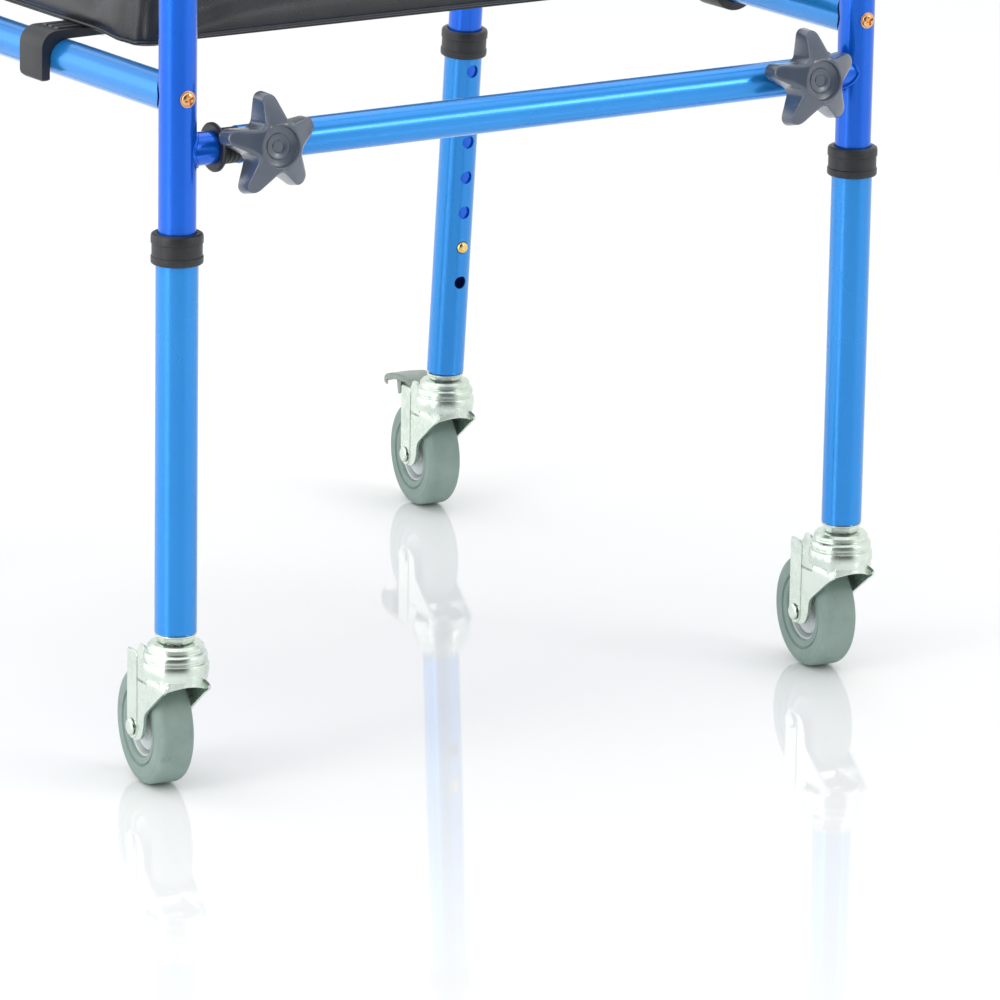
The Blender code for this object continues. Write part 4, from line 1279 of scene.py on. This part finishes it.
def makeSeat():
    boardLow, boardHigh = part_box("seat_board")
    padLow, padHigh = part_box("seat_pad")
    low = Vector((padLow[0], padLow[1], boardLow[2] - seat["skirt"] + 0.0010))
    high = Vector(padHigh)
    pad = rawObject("seatCover", padForm(low, high))
    remesh = pad.modifiers.new("even", "REMESH")
    remesh.mode = "VOXEL"
    remesh.voxel_size = seat["voxel"]
    bpy.context.view_layer.update()
    settle(pad)
    swell(pad)
    levelTop(pad, low, high)
    pleatCorners(pad, low, high)
    pad.data.materials.clear()
    pad.data.materials.append(finishes["black_vinyl"])
    pad.data.shade_smooth()
    smooth = pad.modifiers.new("even", "SMOOTH")
    smooth.factor = 0.5
    smooth.iterations = 2
    fine = pad.modifiers.new("fine", "SUBSURF")
    fine.levels = 1
    fine.render_levels = 1
    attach(pad, "seat")
    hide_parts("seat_pad")
    makePiping(pad, low, high)
    outline = insetOutline(boardLow, boardHigh, seat["boardInset"], 12)
    board = platedMesh(outline, boardLow[2] - 0.0012, boardHigh[2] - 0.001, 0.0008, "XY")
    addPart("seat_board", board, "seat_board", "seat", 30)


hook = {
    "gap": 0.0005,
    "thick": 0.0062,
    "drop": 0.0146,
    "tab": 0.045,
    "rearCorner": 0.0080,
    "frontCorner": 0.0040,
    "ribs": 3,
    "ribTall": 0.0010,
    "ribShare": 0.36,
    "screwReach": 0.030,
    "screwShift": 0.010,
}


def clipOutline(inner, outer):
    tab = hook["tab"]
    outline = [(-tab, outer), (-tab, outer - 0.0030), (-tab + 0.010, inner + 0.0005)]
    outline += arcPoints((0, 0), inner, pi / 2, -3 * pi / 2 + 0.45, 40)
    outline += arcPoints((0, 0), outer, -3 * pi / 2 + 0.75, pi / 2, 40)
    return outline


def hookOutline(inner, outer):
    # seen from the front: the tab to the left, the rail's axis at the origin
    tab, drop = hook["tab"], hook["drop"]
    outline = [(-tab, outer), (-tab, outer - 0.0030), (-tab + 0.010, inner + 0.0005)]
    outline += arcPoints((0, 0), inner, pi / 2, 0, 18)
    outline += [(inner, -drop + 0.0012), (inner + 0.0012, -drop), (outer - 0.0014, -drop)]
    outline += [(outer, -drop + 0.0016)]
    shoulder = 0.0120
    outline += arcPoints((outer - shoulder, outer - shoulder), shoulder, 0, pi / 2, 12)
    return outline


def makeSaddle(side, end):
    isHook = side == "left"
    name = f"{end}_seat_hook" if isHook else f"{end}_seat_hinge_clip"
    low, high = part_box(name)
    inner = barRadius + hook["gap"]
    outer = inner + hook["thick"]
    x0 = postX[side]
    flip = -1 if isHook else 1

    def platedOnRail(outline, near, far, edge):
        return platedMesh([(x0 + flip * x, railHeight + z) for x, z in outline], near, far, edge,
                          "XZ")

    outline = hookOutline(inner, outer) if isHook else clipOutline(inner, outer)
    body = platedOnRail(outline, low[1], high[1], 0.0005)
    if isHook:
        tall = railHeight + outer + 0.01
        foot = railHeight - hook["drop"] - 0.0002
        near, far = low[1] - 0.001, high[1] + 0.001
        face = roundedOutline([(near, foot), (far, foot), (far, tall), (near, tall)],
                              [hook["frontCorner"], hook["rearCorner"], 0.001, 0.001], 8)
        body = combined(body, [platedMesh(face, x0 - 0.03, x0 + 0.06)], "INTERSECT")
    addPart(name, body, "charcoal_plastic", "seat", 36, rounding=0.0005)
    step = (high[1] - low[1]) / (hook["ribs"] + 1)
    top, base = outer + hook["ribTall"], outer - 0.0010
    back = -hook["tab"] + 0.004
    line = [(back, base), (0.0060, base), (0.0040, top), (back, top)]
    half = step * hook["ribShare"]
    ribs = []
    for number in range(hook["ribs"]):
        at = low[1] + step * (number + 1)
        ribs.append(platedOnRail(line, at - half, at + half, 0.0003))
    label = f"{side}{end.title()}"
    addPiece(f"{label}SeatTabRibs", joined(*ribs), "ribbed_plastic", "seat", (), 30)
    middle = (low[1] + high[1]) / 2
    for letter, shift in (("A", -hook["screwShift"]), ("B", hook["screwShift"])):
        at = Vector((x0 - flip * hook["screwReach"], middle + shift, railHeight + inner + 0.0006))
        head = turnedMesh([(0.0005, 0.0019), (0.0022, 0.0017), (0.0034, 0.0010), (0.0037, 0.0),
                           (0.0037, -0.0030), (0.0005, -0.0030)], 28)
        placed(head, aimed(at, at + Vector((0, 0, -1))))
        addPiece(f"{label}SeatScrew{letter}", head, "bright_zinc", "seat")


for side in sides:
    makeSideFrame(side)
    makeSideRail(side)
    makeGrip(side)
    for level in levels:
        makeBush(side, level)
        makeKnob(side, level)
    for end in ends:
        makeRailScrew(side, end)
        makeLeg(side, end)
        makeCastor(side, end)
        makeSaddle(side, end)
    print(side, "side ready")
for level in levels:
    makeCrossbar(level)
makeSeat()
print("seat ready")


studio = {
    "ambient": 0.80,
    "behind": 1.0,
    "sideLeft": 1.9,
    "sideRight": 1.1,
    "cameraSide": 0.10,
    "overhead": 0.75,
    "floor": (0.95, 0.96, 0.96),
    "floorSpecular": 0.36,
    "floorRoughness": 0.035,
    "keyPower": 24.0,
    "fillPower": 11.0,
    "topPower": 52.0,
}


def makeFloor():
    bm = bmesh.new()
    bmesh.ops.create_grid(bm, x_segments=1, y_segments=1, size=30)
    floor = rawObject("studioFloor", bm)
    floor.location.z = -0.0004
    finish = newFinish("studioFloor", Roughness=studio["floorRoughness"],
                       Base_Color=studio["floor"], Specular_IOR_Level=studio["floorSpecular"])
    floor.data.materials.append(finish[0])


def addSoftbox(name, spot, target, size, power):
    light = bpy.data.lights.new(name, "AREA")
    light.shape = "RECTANGLE"
    light.size, light.size_y = size
    light.energy = power
    item = bpy.data.objects.new(name, light)
    item.location = spot
    aim = Vector(target) - Vector(spot)
    item.rotation_euler = aim.to_track_quat("-Z", "Y").to_euler()
    scene.collection.objects.link(item)


def makeSky(tree):
    # what shiny faces see: white behind and to the sides, dark towards the camera
    direction = tree.nodes.new("ShaderNodeTexCoord").outputs["Generated"]
    heading = radians(view["azimuth"])
    toward = (sin(heading), -cos(heading), 0.0)
    leftward = (-cos(heading), -sin(heading), 0.0)
    level = None
    for axis, low, high, dim, bright in (
        (toward, -0.35, 0.55, studio["behind"], studio["cameraSide"]),
        (leftward, 0.50, 0.85, 0.0, studio["sideLeft"]),
        (leftward, -0.55, -0.90, 0.0, studio["sideRight"]),
        ((0.0, 0.0, 1.0), 0.45, 0.80, 0.0, studio["overhead"]),
    ):
        dot = node(tree, "ShaderNodeVectorMath", direction, axis, operation="DOT_PRODUCT")
        glow = remap(tree, dot.outputs["Value"], low, high, dim, bright, "SMOOTHSTEP")
        level = glow if level is None else maths(tree, "MAXIMUM", level, glow)
    return level


def makeStudio():
    world = bpy.data.worlds.new("studio")
    world.use_nodes = True
    tree = world.node_tree
    rays = tree.nodes.new("ShaderNodeLightPath")
    pick = node(tree, "ShaderNodeMix", rays.outputs["Is Glossy Ray"], data_type="FLOAT")
    feed(tree, pick.inputs[2], studio["ambient"])
    feed(tree, pick.inputs[3], makeSky(tree))
    sky = tree.nodes["Background"]
    sky.inputs["Color"].default_value = (1.0, 1.0, 1.0, 1.0)
    tree.links.new(pick.outputs[0], sky.inputs["Strength"])
    scene.world = world
    addSoftbox("leftSoftbox", (-2.6, -0.6, 1.3), (0, 0, 0.4), (1.0, 2.4), studio["keyPower"])
    addSoftbox("rightSoftbox", (1.7, -2.6, 1.55), (0, -0.2, 0.4), (0.7, 0.8), studio["fillPower"])
    addSoftbox("topSoftbox", (0.0, 0.5, 3.2), (0, 0.5, 0), (5.0, 5.0), studio["topPower"])
    scene.view_settings.view_transform = "Standard"
    scene.view_settings.look = "None"


view = {"azimuth": -33.99, "elevation": 15.07, "roll": 0.96, "lens": 243.5, "sensor": 36.0,
        "stand": (-2.5289, -3.7255, 1.3800)}


def makeCamera():
    data = bpy.data.cameras.new("photoView")
    data.lens = view["lens"]
    data.sensor_width = view["sensor"]
    data.clip_end = 100
    camera = bpy.data.objects.new("photoView", data)
    scene.collection.objects.link(camera)
    a, e = radians(view["azimuth"]), radians(view["elevation"])
    forward = Vector((-sin(a) * cos(e), cos(a) * cos(e), -sin(e)))
    turn = forward.to_track_quat("-Z", "Y")
    roll = Matrix.Rotation(radians(-view["roll"]), 4, forward)
    middle = Vector(((postX["left"] + postX["right"]) / 2, frontY, 0))
    spot = middle + Vector(view["stand"])
    camera.matrix_world = Matrix.Translation(spot) @ roll @ turn.to_matrix().to_4x4()
    scene.camera = camera


makeFloor()
makeStudio()
makeCamera()
print("scene ready")
